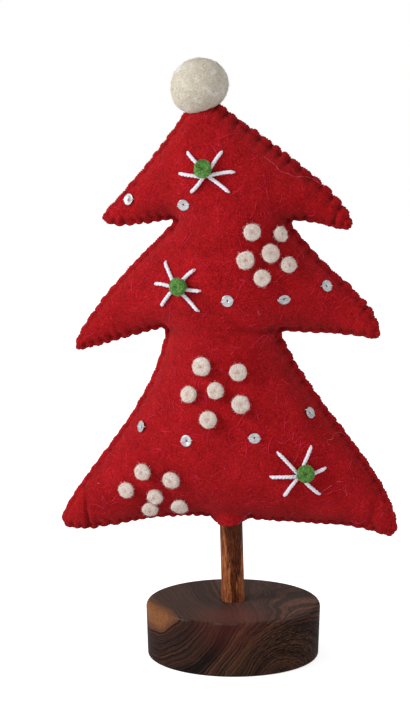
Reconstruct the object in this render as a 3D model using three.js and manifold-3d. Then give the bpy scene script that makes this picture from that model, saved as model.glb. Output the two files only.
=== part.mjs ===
// Felt Christmas tree on a turned wooden foot, in millimetres with +Z up.
// The origin is the middle of the foot's flat underside. The tree's front faces -Y, and +X is
// its right side as seen from the front. Everything above the foot is modelled in the tree's
// own frame, which starts at the middle of the foot's top face and leans with the trunk: x
// across, y through the tree from front to back, z up the trunk.
import * as THREE from 'three';
import { mergeVertices } from 'three/addons/utils/BufferGeometryUtils.js';
import Module from 'manifold-3d';

const wasm = await Module();
wasm.setup();

// Foot: a turned disc of dark wood with a blind hole for the trunk.
const FOOT_DIAMETER = 88;
const FOOT_THICKNESS = 27.8;
const FOOT_TOP_ROUND = 2.6;
const FOOT_BOTTOM_ROUND = 1.4;
const FOOT_TAPER = 0.9; // how much smaller the radius is at the underside
const FOOT_HOLE_DEPTH = 17;
const FOOT_SIDES = 56;
const ROUND_STEPS = 2;

// Trunk: a rod planed by hand to a few flats, glued into the foot and pushed up into the stuffing.
const TRUNK_DIAMETER = 11.7;
const TRUNK_SHOWN = 40.1; // from the foot's top to the corners of the felt's mouth
const TRUNK_IN_TREE = 78;
const TRUNK_FLATS = 14;
const TRUNK_OVAL_SHARE = 0.03; // how far the planed rod departs from round
const TRUNK_CHAMFER = 0.8;
const TRUNK_LEAN_DEGREES = 1.7; // towards -X

// Gaps between neighbouring pieces.
const GLUE_GAP = 0.3; // round the trunk
const SEAM_GAP = 0.3; // between the two felts along their seam
const FILL_GAP = 0.35; // between the felt and the stuffing
const SEAT_GAP = 0.3; // under whatever is sewn on the felt
const YARN_GAP = 0.3; // between a ball and the yarn that it sits over

// Felt: two sheets, cut alike, joined by overcast stitches round the rim and stuffed.
const TREE_THICKNESS = 50; // over both felts, where the tree is fullest
const FELT_THICKNESS = 2.2;
const SEAM_ALLOWANCE = 4.2; // from the cut edge to the stitch holes
const STITCH_PITCH = 5.5;
const SCALLOP_DEPTH = 1; // how far the felt swells out between two stitches
const PINCHED_SHARE = 0.6; // thickness that is left of the felt under a stitch
const PUFF_ROUNDNESS_SHARE = 0.52; // 0.5 swells like an ellipse, 1 like a lens
const STRETCH_LIMIT_SHARE = 1.7; // most that a slope thickens the felt, measured through the tree
const FELT_SHOULDER = 4.4; // from the stitch holes to where the felt has begun to swell
const SHOULDER_SPACING = 7.6; // between the points that shape the shoulder
const PATTERN_SPACING = 14; // between the points that shape the felt further in
const PATTERN_SLANT = 0.29; // of their rows, in radians
const HOLE_CLEAR_SHARE = 0.85; // least way from a stitch hole to the edge, of the allowance
const SHOULDER_CLEAR_SHARE = 0.9; // least way from a shoulder point to the edge, of its own
const FIELD_CLEAR_SHARE = 1.6; // least way from a point further in to the edge, of the shoulder's
const FIELD_APART_SHARE = 0.55; // least way between those points, of their spacing
const SWELL_ROUNDS = 600; // of the reckoning that finds the stuffing's swell

// Outline of the felt. Each side climbs from the mouth round the trunk by a hem, a tip and a
// slope for every tier.
const MOUTH_LIP = 1.4; // how far the middle of the lip hangs under its corners
const MOUTH_STEPS = 8;
const MOUTH_EASE = 0.55; // room between the trunk and the felt round it
const COLLAR_SPREAD = 4.6; // the collar's width on each side beyond the mouth
const COLLAR_HEIGHT = 2.4; // from the mouth's corners to the hem
const COLLAR_ROWS = 3; // of points that lay the felt round the trunk, a collar's height apart
const TIP_ROUND = 13.5; // from the corner of a tip to where its rounding starts
const NOTCH_ROUND = 4.4;
const APEX_CROWN = 1.6; // how far the blunt apex rises above its shoulders
const BOTTOM_TIER_RISE = 95;
const MIDDLE_TIER_RISE = 55;
const TOP_TIER_RISE = 58;
const BOTTOM_TIER_WIDTH = 170.2;
const MIDDLE_TIER_WIDTH = 154.8;
const TOP_TIER_WIDTH = 126;
const OUTLINE_STEPS = 400;
const APEX_STEPS = 8;

// The cutting by hand, which makes no side like another. Reach and waist are shares of the
// tier's width, from the trunk's axis to the tip, before it is rounded, and to the notch above.
// Droop and lift are shares of the tier's rise: how far the tip hangs below the notch under it,
// and how far the notch above lies over the tier's height. The bows are shares of the length of
// a hem or slope and push its curve out, first the end that comes first from the trunk up.
const BOTTOM_TIER_SHARES = {
  left: {
    reach: 0.534, droop: 0.063, waist: 0.174, lift: 0.024,
    hemBows: [0.066, -0.022], slopeBows: [0.005, -0.108],
  },
  right: {
    reach: 0.503, droop: 0.131, waist: 0.16, lift: -0.003,
    hemBows: [0.019, 0.085], slopeBows: [0.099, -0.032],
  },
};
const MIDDLE_TIER_SHARES = {
  left: {
    reach: 0.516, droop: 0.205, waist: 0.143, lift: 0.026,
    hemBows: [0.021, 0.001], slopeBows: [0.064, 0.048],
  },
  right: {
    reach: 0.517, droop: 0.117, waist: 0.216, lift: -0.016,
    hemBows: [0.028, 0.052], slopeBows: [0.094, -0.016],
  },
};
const TOP_TIER_SHARES = {
  left: {
    reach: 0.506, droop: -0.015, waist: 0.115, lift: 0,
    hemBows: [-0.007, -0.107], slopeBows: [-0.025, -0.035],
  },
  right: {
    reach: 0.541, droop: 0.052, waist: 0.018, lift: 0,
    hemBows: [0.08, -0.127], slopeBows: [0.063, -0.004],
  },
};
const HEM_HEIGHT = TRUNK_SHOWN + COLLAR_HEIGHT;
const MIDDLE_LEVEL = HEM_HEIGHT + BOTTOM_TIER_RISE;
const TOP_LEVEL = MIDDLE_LEVEL + MIDDLE_TIER_RISE;
const TIERS = {
  bottom: {
    level: HEM_HEIGHT,
    rise: BOTTOM_TIER_RISE,
    width: BOTTOM_TIER_WIDTH,
    ...BOTTOM_TIER_SHARES,
  },
  middle: {
    level: MIDDLE_LEVEL,
    rise: MIDDLE_TIER_RISE,
    width: MIDDLE_TIER_WIDTH,
    ...MIDDLE_TIER_SHARES,
  },
  top: {
    level: TOP_LEVEL,
    rise: TOP_TIER_RISE,
    width: TOP_TIER_WIDTH,
    ...TOP_TIER_SHARES,
  },
};

// Ball on the apex: wet-felted wool, a little wider than high, sewn on over the tip.
const TOP_BALL_DIAMETER = 28.6;
const TOP_BALL_HEIGHT = 27;
const TOP_BALL_SIDES = 20;
const TOP_BALL_STEPS = 12;
const TOP_BALL_SINK = 6; // how far the tip of the felt pushes into the ball
const TOP_BALL_SHIFT = 3.2; // of its middle from the middle of the apex, to the left
const TOP_BALL_TILT_DEGREES = 12;

// Small balls of felted wool, each pulled flat and dimpled by the thread through its middle.
const DOT_DIAMETER = 9.2;
const DOT_HEIGHT = 5.2;
const BEAD_DIAMETER = 9.4;
const BEAD_HEIGHT = 6.6;
const DOT_SIDES = 12;
// A small ball's section from its back to its front, as shares of its radius and its height.
const DOT_SECTION_SHARES = [
  [0, 0], [0.6, 0], [0.93, 0.2], [1, 0.48], [0.8, 0.86], [0.42, 1], [0, 0.76],
];

// Yarn stars: six long stitches of white yarn that meet under a green ball.
const YARN_DIAMETER = 1.7;
const YARN_KNOT_DIAMETER = 2.5; // of the lump where the stitches meet
const YARN_KNOT_SIDES = 8;
const YARN_SIDES = 6;
const YARN_STEPS = 5;

// Sequins: thin cupped discs with a hole for the thread.
const SEQUIN_DIAMETER = 6;
const SEQUIN_HOLE = 1;
const SEQUIN_THICKNESS = 0.3;
const SEQUIN_CUP = 0.35; // how far the rim stands above the hole
const SEQUIN_SIDES = 14;

// Places on the front. A place is a tier with a share of its width, from the trunk's axis to the
// right, and a share of its rise. Petals and rays have an angle in degrees, anticlockwise from
// the right, and a share of the flower's or the star's radius.
const FLOWER_RADIUS = 13.4; // from the middle dot to the middle of a petal
const STAR_RADIUS = 13.5; // from the hub to the end of a ray
const FLOWER_SHARES = {
  upper_flower: {
    at: ['middle', 0.158, 0.725],
    petals: [[127, 1.1], [68, 0.74], [188, 0.82], [-34, 0.77], [253, 0.83]],
  },
  middle_flower: {
    at: ['bottom', -0.009, 0.727],
    petals: [[119, 1.01], [41, 1.02], [190, 1.02], [-31, 1], [254, 1.09]],
  },
  lower_flower: {
    at: ['bottom', -0.207, 0.172],
    petals: [[113, 0.88], [41, 0.96], [173, 1.05], [243, 0.73], [-22, 1.01]],
  },
};
const STAR_SHARES = {
  top_star: {
    at: ['top', -0.041, 0.406],
    ball: [-0.07, 0.25],
    rays: [[174, 1.05], [129, 1.17], [56, 1.1], [7, 1.13], [-34, 1.08], [-133, 0.83]],
  },
  middle_star: {
    at: ['middle', -0.128, 0.451],
    ball: [0.09, 0.03],
    rays: [[174, 0.91], [119, 1.06], [43, 1.01], [-9, 0.97], [-46, 1.19], [-131, 1.01]],
  },
  lower_star: {
    at: ['bottom', 0.224, 0.277],
    ball: [0.18, 0.07],
    rays: [[184, 1.16], [136, 1.17], [68, 1.09], [7, 0.92], [-52, 1.01], [-126, 1.18]],
  },
};
const SEQUIN_PLACE_SHARES = [
  ['top', -0.361, 0.201],
  ['top', -0.132, 0.176],
  ['middle', 0.03, 0.335],
  ['middle', 0.205, 0.331],
  ['middle', 0.334, 0.42],
  ['bottom', -0.252, 0.512],
  ['bottom', -0.103, 0.463],
  ['bottom', 0.094, 0.476],
  ['bottom', 0.245, 0.577],
];

const OVERRUN = 2; // cutters reach this far past what they cut
const MERGE_DISTANCE = 1e-4; // vertices nearer than this are one
const FOOTPRINT_SIDES = 24; // directions in which a seat is felt for high places
const FOOTPRINT_RINGS = 4;

const TRUNK_CLEAR_RADIUS = TRUNK_DIAMETER / 2 + GLUE_GAP;
const MOUTH_RADIUS = TRUNK_DIAMETER / 2 + MOUTH_EASE;

// Outline

function flat(x, z) {
  return new THREE.Vector2(x, z);
}

// A point on the way from one corner to another, never past the middle.
function toward(from, to, distance) {
  return from.clone().lerp(to, Math.min(0.5, distance / from.distanceTo(to)));
}

// The two handles of a curve between two corners, which its bows push out to the side given by
// `outward`.
function bowed(from, to, bowShares, outward) {
  const side = flat(to.y - from.y, from.x - to.x).multiplyScalar(outward);
  return bowShares.map((share, i) => (
    from.clone().lerp(to, (i + 1) / (bowShares.length + 1)).addScaledVector(side, share)
  ));
}

// One side of the tree, from the mouth's corner to the shoulder of the apex, with x counted
// away from the trunk.
function sidePath(side) {
  const corner = flat(MOUTH_RADIUS, TRUNK_SHOWN);
  let notch = flat(MOUTH_RADIUS + COLLAR_SPREAD, HEM_HEIGHT);
  const path = new THREE.Path().moveTo(corner.x, corner.y);
  const lip = toward(notch, corner, NOTCH_ROUND);
  path.lineTo(lip.x, lip.y);
  Object.values(TIERS).forEach((tier) => {
    const cut = tier[side];
    const tip = flat(cut.reach * tier.width, tier.level - cut.droop * tier.rise);
    const above = flat(cut.waist * tier.width, tier.level + (1 + cut.lift) * tier.rise);
    const [hemOut, hemIn] = bowed(notch, tip, cut.hemBows, -1);
    const [slopeOut, slopeIn] = bowed(tip, above, cut.slopeBows, 1);
    const hemStart = toward(notch, hemOut, NOTCH_ROUND);
    const hemEnd = toward(tip, hemIn, TIP_ROUND);
    const slopeStart = toward(tip, slopeOut, TIP_ROUND);
    const slopeEnd = tier === TIERS.top ? above : toward(above, slopeIn, NOTCH_ROUND);
    path.quadraticCurveTo(notch.x, notch.y, hemStart.x, hemStart.y);
    path.bezierCurveTo(hemOut.x, hemOut.y, hemIn.x, hemIn.y, hemEnd.x, hemEnd.y);
    path.quadraticCurveTo(tip.x, tip.y, slopeStart.x, slopeStart.y);
    path.bezierCurveTo(slopeOut.x, slopeOut.y, slopeIn.x, slopeIn.y, slopeEnd.x, slopeEnd.y);
    notch = above;
  });
  return path;
}

// The highest point of the felt between the shoulders of its apex.
function apexMiddle() {
  const { left, right, width, rise } = TIERS.top;
  return flat(((right.waist - left.waist) * width) / 2, TOP_LEVEL + rise + APEX_CROWN);
}

// The stitched edge, anticlockwise from the mouth's right corner over the apex to its left corner.
function stitchedEdge() {
  const right = sidePath('right').getSpacedPoints(OUTLINE_STEPS);
  const left = sidePath('left').getSpacedPoints(OUTLINE_STEPS).reverse().map((p) => flat(-p.x, p.y));
  const crown = apexMiddle().add(flat(0, APEX_CROWN)); // the curve rises half as far as this corner
  const apex = new THREE.QuadraticBezierCurve(right.at(-1), crown, left[0]).getPoints(APEX_STEPS);
  return [...right, ...apex.slice(1, -1), ...left];
}

// Equal steps along a line of points.
function equalSteps(line, count) {
  const reached = [0];
  for (let i = 1; i < line.length; i += 1) {
    reached.push(reached[i - 1] + line[i].distanceTo(line[i - 1]));
  }
  const points = [];
  let at = 1;
  for (let i = 0; i <= count; i += 1) {
    const goal = (reached.at(-1) * i) / count;
    while (at < line.length - 1 && reached[at] < goal) at += 1;
    const way = (goal - reached[at - 1]) / (reached[at] - reached[at - 1]);
    points.push(line[at - 1].clone().lerp(line[at], way));
  }
  return { points, length: reached.at(-1) };
}

// Unit normals of a line of points, to the right of the way it runs, which is outward on an
// anticlockwise edge.
function sideways(points) {
  return points.map((_, i) => {
    const before = points[Math.max(0, i - 1)];
    const after = points[Math.min(points.length - 1, i + 1)];
    return flat(after.y - before.y, before.x - after.x).normalize();
  });
}

// Pattern: the flat points of one felt and the triangles between them

const EDGE = 'edge';
const STITCH = 'stitch';
const MOUTH = 'mouth';
const COLLAR = 'collar';
const INSIDE = 'inside';

function distanceToEdge(point, edge) {
  const nearest = new THREE.Vector2();
  let least = Infinity;
  for (let i = 0; i < edge.length; i += 1) {
    const a = edge[i];
    const along = edge[(i + 1) % edge.length].clone().sub(a);
    const way = THREE.MathUtils.clamp(point.clone().sub(a).dot(along) / along.lengthSq(), 0, 1);
    least = Math.min(least, nearest.copy(a).addScaledVector(along, way).distanceTo(point));
  }
  return least;
}

function isWithin(point, edge) {
  let within = false;
  edge.forEach((a, i) => {
    const b = edge[(i + 1) % edge.length];
    const crosses = (a.y > point.y) !== (b.y > point.y);
    if (crosses && point.x < a.x + ((b.x - a.x) * (point.y - a.y)) / (b.y - a.y)) within = !within;
  });
  return within;
}

// The lip of the mouth from its left corner to its right one, its points spread evenly round
// the trunk.
function mouthLip(radius, height) {
  return Array.from({ length: MOUTH_STEPS + 1 }, (_, i) => {
    const angle = (Math.PI * i) / MOUTH_STEPS;
    return flat(-radius * Math.cos(angle), height - MOUTH_LIP * Math.sin(angle));
  });
}

// Adds the points that are far enough from the edge and from the points already there, half as
// far from other kinds.
function addApart(points, candidates, kind, edge, fromEdge, apart) {
  const away = (other) => (other === kind ? apart : apart / 2);
  candidates.forEach((at) => {
    const crowded = points.some((p) => p.kind !== EDGE && p.at.distanceTo(at) < away(p.kind));
    const clear = isWithin(at, edge) && distanceToEdge(at, edge) >= fromEdge;
    if (clear && !crowded) points.push({ at, kind });
  });
}

// Points in rows at a slant, each row shifted by half a step against the last.
function staggered(edge, spacing) {
  const box = new THREE.Box2().setFromPoints(edge);
  const middle = box.getCenter(flat(0, 0));
  const half = Math.ceil(box.getSize(flat(0, 0)).length() / 2 / spacing);
  const points = [];
  for (let row = -half; row <= half; row += 1) {
    for (let step = -half; step <= half; step += 1) {
      const place = flat((step + (row % 2) / 2) * spacing, (row * spacing * Math.sqrt(3)) / 2);
      points.push(place.add(middle).rotateAround(middle, PATTERN_SLANT));
    }
  }
  return points;
}

function patternPoints() {
  const line = stitchedEdge();
  const stitches = Math.round(equalSteps(line, 1).length / STITCH_PITCH);
  const stitched = equalSteps(line, 2 * stitches).points;
  const outward = sideways(stitched);
  const points = stitched.map((p, i) => {
    const swell = i % 2 ? SCALLOP_DEPTH / 2 : -SCALLOP_DEPTH / 2;
    const corner = i === 0 || i === stitched.length - 1;
    const at = corner ? p : p.clone().addScaledVector(outward[i], swell);
    return { at, kind: EDGE, crest: i % 2 === 1 };
  });
  const addLip = (height, kind) => (
    mouthLip(MOUTH_RADIUS, height).slice(1, -1).forEach((at) => points.push({ at, kind }))
  );
  addLip(TRUNK_SHOWN, MOUTH);
  const edge = points.map((p) => p.at);
  for (let row = 1; row <= COLLAR_ROWS; row += 1) {
    addLip(TRUNK_SHOWN + MOUTH_LIP + row * COLLAR_HEIGHT, COLLAR);
  }
  const drawnIn = (distance) => (
    stitched.map((p, i) => p.clone().addScaledVector(outward[i], -distance))
  );
  const besideTrunk = (p) => Math.abs(p.x) > MOUTH_RADIUS + FELT_THICKNESS;
  const holes = drawnIn(SEAM_ALLOWANCE).filter((p, i) => i % 2 === 0 && besideTrunk(p));
  const shoulder = SEAM_ALLOWANCE + FELT_SHOULDER;
  const add = (candidates, kind, fromEdge, apart) => (
    addApart(points, candidates, kind, edge, fromEdge, apart)
  );
  add(holes, STITCH, HOLE_CLEAR_SHARE * SEAM_ALLOWANCE, STITCH_PITCH / 2);
  add(drawnIn(shoulder), INSIDE, SHOULDER_CLEAR_SHARE * shoulder, SHOULDER_SPACING);
  const field = staggered(edge, PATTERN_SPACING);
  add(field, INSIDE, FIELD_CLEAR_SHARE * shoulder, FIELD_APART_SHARE * PATTERN_SPACING);
  return { points, edge, outward };
}

// Flips the edges between triangles until none has opposite angles over half a turn.
function flipped(at, triangles) {
  const key = (a, b) => (a < b ? `${a} ${b}` : `${b} ${a}`);
  const angle = (corner, a, b) => {
    const [u, v] = [at[a].clone().sub(at[corner]), at[b].clone().sub(at[corner])];
    return Math.abs(Math.atan2(u.cross(v), u.dot(v)));
  };
  let changed = true;
  for (let round = 0; changed && round < at.length; round += 1) {
    changed = false;
    const owners = new Map();
    triangles.forEach((t, i) => t.forEach((a, k) => {
      const edge = key(a, t[(k + 1) % 3]);
      owners.set(edge, [...(owners.get(edge) ?? []), i]);
    }));
    const touched = new Set();
    owners.forEach((pair, edge) => {
      if (pair.length < 2 || pair.some((i) => touched.has(i))) return;
      const [a, b] = edge.split(' ').map(Number);
      const [c, d] = pair.map((i) => triangles[i].find((k) => k !== a && k !== b));
      if (angle(c, a, b) + angle(d, a, b) <= Math.PI + 1e-6) return;
      const turn = (p, q, r) => at[q].clone().sub(at[p]).cross(at[r].clone().sub(at[p]));
      const first = turn(c, a, d) > 0 ? [c, a, d] : [a, c, d];
      const second = turn(c, d, b) > 0 ? [c, d, b] : [d, c, b];
      [triangles[pair[0]], triangles[pair[1]]] = [first, second];
      pair.forEach((i) => touched.add(i));
      changed = true;
    });
  }
  return triangles;
}

function cutPattern() {
  const { points, edge, outward } = patternPoints();
  const at = points.map((p) => p.at);
  const inner = points.slice(edge.length).map((p) => [p.at]);
  const triangles = flipped(at, THREE.ShapeUtils.triangulateShape(edge, inner));
  return { points, at, triangles, outward };
}

// Swell: how far the stuffing pushes each felt out from the seam's plane

// For every point the points beside it, with the weight of the side between them.
function sideWeights(at, triangles) {
  const weights = at.map(() => new Map());
  const shares = at.map(() => 0);
  triangles.forEach((t) => t.forEach((corner, k) => {
    const [a, b] = [t[(k + 1) % 3], t[(k + 2) % 3]];
    const [u, v] = [at[a].clone().sub(at[corner]), at[b].clone().sub(at[corner])];
    const half = u.dot(v) / u.cross(v) / 2;
    weights[a].set(b, (weights[a].get(b) ?? 0) + half);
    weights[b].set(a, (weights[b].get(a) ?? 0) + half);
    shares[corner] += u.cross(v) / 6;
  }));
  return { weights, shares };
}

// A skin held at the seam and pressed up evenly, which stands highest where the seam is
// furthest away.
function pressedSkin({ points, at, triangles }) {
  const { weights, shares } = sideWeights(at, triangles);
  const level = at.map(() => 0);
  for (let round = 0; round < SWELL_ROUNDS; round += 1) {
    points.forEach(({ kind }, i) => {
      if (kind !== INSIDE && kind !== COLLAR) return;
      let [pull, total] = [shares[i], 0];
      weights[i].forEach((weight, k) => {
        pull += weight * level[k];
        total += weight;
      });
      level[i] = pull / total;
    });
  }
  return level;
}

// How far the trunk pushes the felt out.
function overTrunk({ at, kind }) {
  if (kind === EDGE || kind === STITCH) return 0;
  return Math.sqrt(Math.max(0, MOUTH_RADIUS ** 2 - at.x ** 2));
}

// Half the room between the two felts at each point of the pattern.
function roomInside(pattern) {
  const level = pressedSkin(pattern);
  const highest = Math.max(...level);
  const fullest = TREE_THICKNESS / 2 - FELT_THICKNESS;
  return pattern.points.map((point, i) => {
    const swell = fullest * (level[i] / highest) ** PUFF_ROUNDNESS_SHARE;
    return Math.max(SEAM_GAP / 2, swell, overTrunk(point));
  });
}

// Normals of the front's skin, pointing away from the seam's plane, at each point of the pattern.
function skinNormals(pattern, height) {
  const normals = pattern.at.map(() => new THREE.Vector3());
  const place = (i) => new THREE.Vector3(pattern.at[i].x, -height[i], pattern.at[i].y);
  pattern.triangles.forEach((t) => {
    const [a, b, c] = t.map(place);
    const normal = b.sub(a).cross(c.sub(a));
    t.forEach((i) => normals[i].add(normal));
  });
  return normals.map((n) => n.normalize());
}

// Thickness of the felt, measured through the tree: more on a slope, less under a stitch.
function feltThickness(pattern, room) {
  const normals = skinNormals(pattern, room);
  return pattern.points.map(({ kind, crest }, i) => {
    if (kind === STITCH || (kind === EDGE && !crest)) return FELT_THICKNESS * PINCHED_SHARE;
    if (kind === EDGE || kind === MOUTH) return FELT_THICKNESS;
    return FELT_THICKNESS * Math.min(STRETCH_LIMIT_SHARE, 1 / Math.abs(normals[i].y));
  });
}

// Solids between two heights of a pattern

// Every point has a place on the front and one on the back. Where the two are the same the
// solid closes to an edge.
function slab(at, triangles, front, back) {
  const used = [...new Set(triangles.flat())];
  const places = [];
  const index = { front: [], back: [] };
  used.forEach((i) => {
    index.front[i] = places.push([at[i].x, front[i], at[i].y]) - 1;
    const shut = back[i] === front[i];
    index.back[i] = shut ? index.front[i] : places.push([at[i].x, back[i], at[i].y]) - 1;
  });
  const faces = [];
  const add = (a, b, c) => {
    if (a !== b && b !== c && c !== a) faces.push(a, b, c);
  };
  const sides = new Set(triangles.flatMap((t) => t.map((a, k) => `${a} ${t[(k + 1) % 3]}`)));
  triangles.forEach((t) => {
    add(...t.map((i) => index.front[i]));
    add(...t.map((i) => index.back[i]).reverse());
    t.forEach((a, k) => {
      const b = t[(k + 1) % 3];
      if (sides.has(`${b} ${a}`)) return;
      add(index.front[a], index.back[a], index.front[b]);
      add(index.front[b], index.back[a], index.back[b]);
    });
  });
  const geometry = new THREE.BufferGeometry();
  geometry.setAttribute('position', new THREE.Float32BufferAttribute(places.flat(), 3));
  return geometry.setIndex(faces);
}

// Cutting and joining

function solidOf(geometry) {
  const bare = new THREE.BufferGeometry();
  bare.setAttribute('position', geometry.getAttribute('position').clone());
  bare.setIndex(geometry.getIndex() ? geometry.getIndex().clone() : null);
  const merged = mergeVertices(bare, MERGE_DISTANCE);
  const corners = [...merged.getIndex().array];
  const triVerts = [];
  for (let i = 0; i < corners.length; i += 3) {
    const [a, b, c] = corners.slice(i, i + 3);
    if (a !== b && b !== c && c !== a) triVerts.push(a, b, c);
  }
  return new wasm.Manifold(new wasm.Mesh({
    numProp: 3,
    vertProperties: new Float32Array(merged.getAttribute('position').array),
    triVerts: new Uint32Array(triVerts),
  }));
}

function geometryOf(solid) {
  const { vertProperties, triVerts } = solid.getMesh();
  const geometry = new THREE.BufferGeometry();
  geometry.setAttribute('position', new THREE.BufferAttribute(vertProperties, 3));
  return geometry.setIndex(new THREE.BufferAttribute(triVerts, 1));
}

function cutBy(geometry, ...cutters) {
  const solid = cutters.reduce((rest, cutter) => rest.subtract(solidOf(cutter)), solidOf(geometry));
  return geometryOf(solid);
}

function joined(geometries) {
  return geometryOf(geometries.map(solidOf).reduce((all, solid) => all.add(solid)));
}

// Pieces

function piece(name, geometry, color, roughness, metalness = 0) {
  geometry.computeVertexNormals();
  const material = new THREE.MeshStandardMaterial({ color, roughness, metalness });
  const mesh = new THREE.Mesh(geometry, material);
  mesh.name = name;
  return mesh;
}

// A rod along z with a straight side, from one height to another.
function rod(radius, bottom, top, sides) {
  const geometry = new THREE.CylinderGeometry(radius, radius, top - bottom, sides);
  return geometry.rotateX(Math.PI / 2).translate(0, 0, (top + bottom) / 2);
}

// A hole's radius that keeps its flats outside a round rod.
function roundHole(radius, sides) {
  return radius / Math.cos(Math.PI / sides);
}

function leaned(geometry) {
  return geometry.rotateY(-THREE.MathUtils.degToRad(TRUNK_LEAN_DEGREES));
}

function makeFoot() {
  const top = FOOT_DIAMETER / 2;
  const bottom = top - FOOT_TAPER;
  const profile = new THREE.Path().moveTo(0, 0);
  profile.lineTo(bottom - FOOT_BOTTOM_ROUND, 0);
  profile.absarc(bottom - FOOT_BOTTOM_ROUND, FOOT_BOTTOM_ROUND, FOOT_BOTTOM_ROUND, -Math.PI / 2, 0);
  const shoulder = FOOT_THICKNESS - FOOT_TOP_ROUND;
  profile.absarc(top - FOOT_TOP_ROUND, shoulder, FOOT_TOP_ROUND, 0, Math.PI / 2);
  profile.lineTo(0, FOOT_THICKNESS);
  const disc = new THREE.LatheGeometry(profile.getPoints(ROUND_STEPS), FOOT_SIDES);
  disc.rotateX(Math.PI / 2);
  const radius = roundHole(TRUNK_CLEAR_RADIUS, TRUNK_FLATS);
  const hole = leaned(rod(radius, -FOOT_HOLE_DEPTH, OVERRUN, TRUNK_FLATS));
  return piece('foot', cutBy(disc, hole.translate(0, 0, FOOT_THICKNESS)), 0x4a2a1e, 0.55);
}

function makeTrunk() {
  const corners = Array.from({ length: TRUNK_FLATS }, (_, i) => {
    const angle = (2 * Math.PI * i) / TRUNK_FLATS;
    const radius = (TRUNK_DIAMETER / 2) * (1 - TRUNK_OVAL_SHARE * Math.sin(2 * angle) ** 2);
    return flat(radius * Math.cos(angle), radius * Math.sin(angle));
  });
  const bottom = GLUE_GAP - FOOT_HOLE_DEPTH;
  const top = TRUNK_SHOWN + TRUNK_IN_TREE;
  const geometry = new THREE.ExtrudeGeometry(new THREE.Shape(corners), {
    depth: top - bottom - 2 * TRUNK_CHAMFER,
    bevelSegments: 1,
    bevelThickness: TRUNK_CHAMFER,
    bevelSize: TRUNK_CHAMFER,
    bevelOffset: -TRUNK_CHAMFER,
  });
  return piece('trunk', geometry.translate(0, 0, bottom + TRUNK_CHAMFER), 0x9a5528, 0.6);
}

// The stuffing fills the felts inside their seam, down to the collar, and the trunk is pushed
// up into it.
function makeStuffing({ points, at, triangles }, room) {
  const inSeam = (i) => points[i].kind === STITCH || points[i].kind === INSIDE;
  const filled = triangles.filter((t) => t.every(inSeam));
  const depth = room.map((r) => Math.max(0, r - FILL_GAP));
  const geometry = slab(at, filled, depth.map((d) => -d), depth);
  const top = TRUNK_SHOWN + TRUNK_IN_TREE + GLUE_GAP;
  const radius = roundHole(TRUNK_CLEAR_RADIUS, TRUNK_FLATS);
  const bore = rod(radius, TRUNK_SHOWN - OVERRUN, top, TRUNK_FLATS);
  return piece('stuffing', cutBy(geometry, bore), 0xf2efe8, 1);
}

// Front skin that the decorations are sewn on

class Skin {
  constructor(pattern, height) {
    Object.assign(this, { pattern, height, normals: skinNormals(pattern, height) });
  }

  // The place on the skin straight behind a flat point, and the skin's normal there. None lies
  // outside the edge.
  at(point) {
    const { at, triangles } = this.pattern;
    const [place, normal] = [new THREE.Vector3(), new THREE.Vector3()];
    const found = triangles.some((t) => {
      const [a, b, c] = t.map((i) => at[i]);
      const area = b.clone().sub(a).cross(c.clone().sub(a));
      const parts = [[b, c], [c, a], [a, b]].map(([p, q]) => (
        p.clone().sub(point).cross(q.clone().sub(point)) / area
      ));
      if (Math.min(...parts) < -1e-9) return false;
      t.forEach((i, k) => {
        place.addScaledVector(new THREE.Vector3(at[i].x, -this.height[i], at[i].y), parts[k]);
        normal.addScaledVector(this.normals[i], parts[k]);
      });
      return true;
    });
    return found ? { place, normal: normal.normalize() } : null;
  }

  // Where a round foot of the given radius rests on the skin: over the highest place under it.
  rest(point, radius) {
    const { place, normal } = this.at(point);
    let lift = 0;
    for (let i = 0; i < FOOTPRINT_SIDES; i += 1) {
      const angle = (2 * Math.PI * i) / FOOTPRINT_SIDES;
      const side = new THREE.Vector3(Math.cos(angle), 0, Math.sin(angle));
      side.projectOnPlane(normal).normalize();
      for (let ring = 1; ring <= FOOTPRINT_RINGS; ring += 1) {
        const beside = place.clone().addScaledVector(side, (radius * ring) / FOOTPRINT_RINGS);
        const under = this.at(flat(beside.x, beside.z));
        if (under) lift = Math.max(lift, under.place.sub(place).dot(normal));
      }
    }
    return { place: place.addScaledVector(normal, lift + SEAT_GAP), normal };
  }

  // Turns a geometry's y axis along the skin's normal and sets its foot on the skin.
  seat(geometry, point, radius) {
    const { place, normal } = this.rest(point, radius);
    const turn = new THREE.Quaternion().setFromUnitVectors(new THREE.Vector3(0, 1, 0), normal);
    return geometry.applyQuaternion(turn).translate(...place);
  }
}

// A place on the front from its tier and its shares of the tier's width and rise.
function placeOf([name, across, up]) {
  const tier = TIERS[name];
  return flat(across * tier.width, tier.level + up * tier.rise);
}

function polar(middle, radius, [degrees, share]) {
  const angle = THREE.MathUtils.degToRad(degrees);
  return flat(Math.cos(angle), Math.sin(angle)).multiplyScalar(radius * share).add(middle);
}

function smallBall(diameter, height) {
  const section = DOT_SECTION_SHARES.map(([r, y]) => flat((r * diameter) / 2, y * height));
  return new THREE.LatheGeometry(section, DOT_SIDES);
}

function makeFlower(name, { at, petals }, skin) {
  const middle = placeOf(at);
  const places = [middle, ...petals.map((petal) => polar(middle, FLOWER_RADIUS, petal))];
  return places.map((place, i) => {
    const ball = skin.seat(smallBall(DOT_DIAMETER, DOT_HEIGHT), place, DOT_DIAMETER / 2);
    return piece(`${name}_dot_${i + 1}`, ball, 0xe8d9c3, 1);
  });
}

// The middle of a strand of yarn that lies on the skin over a flat point.
function strandPlace(skin, point) {
  const { place, normal } = skin.rest(point, STAR_RADIUS / YARN_STEPS);
  return place.addScaledVector(normal, YARN_DIAMETER / 2);
}

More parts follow.
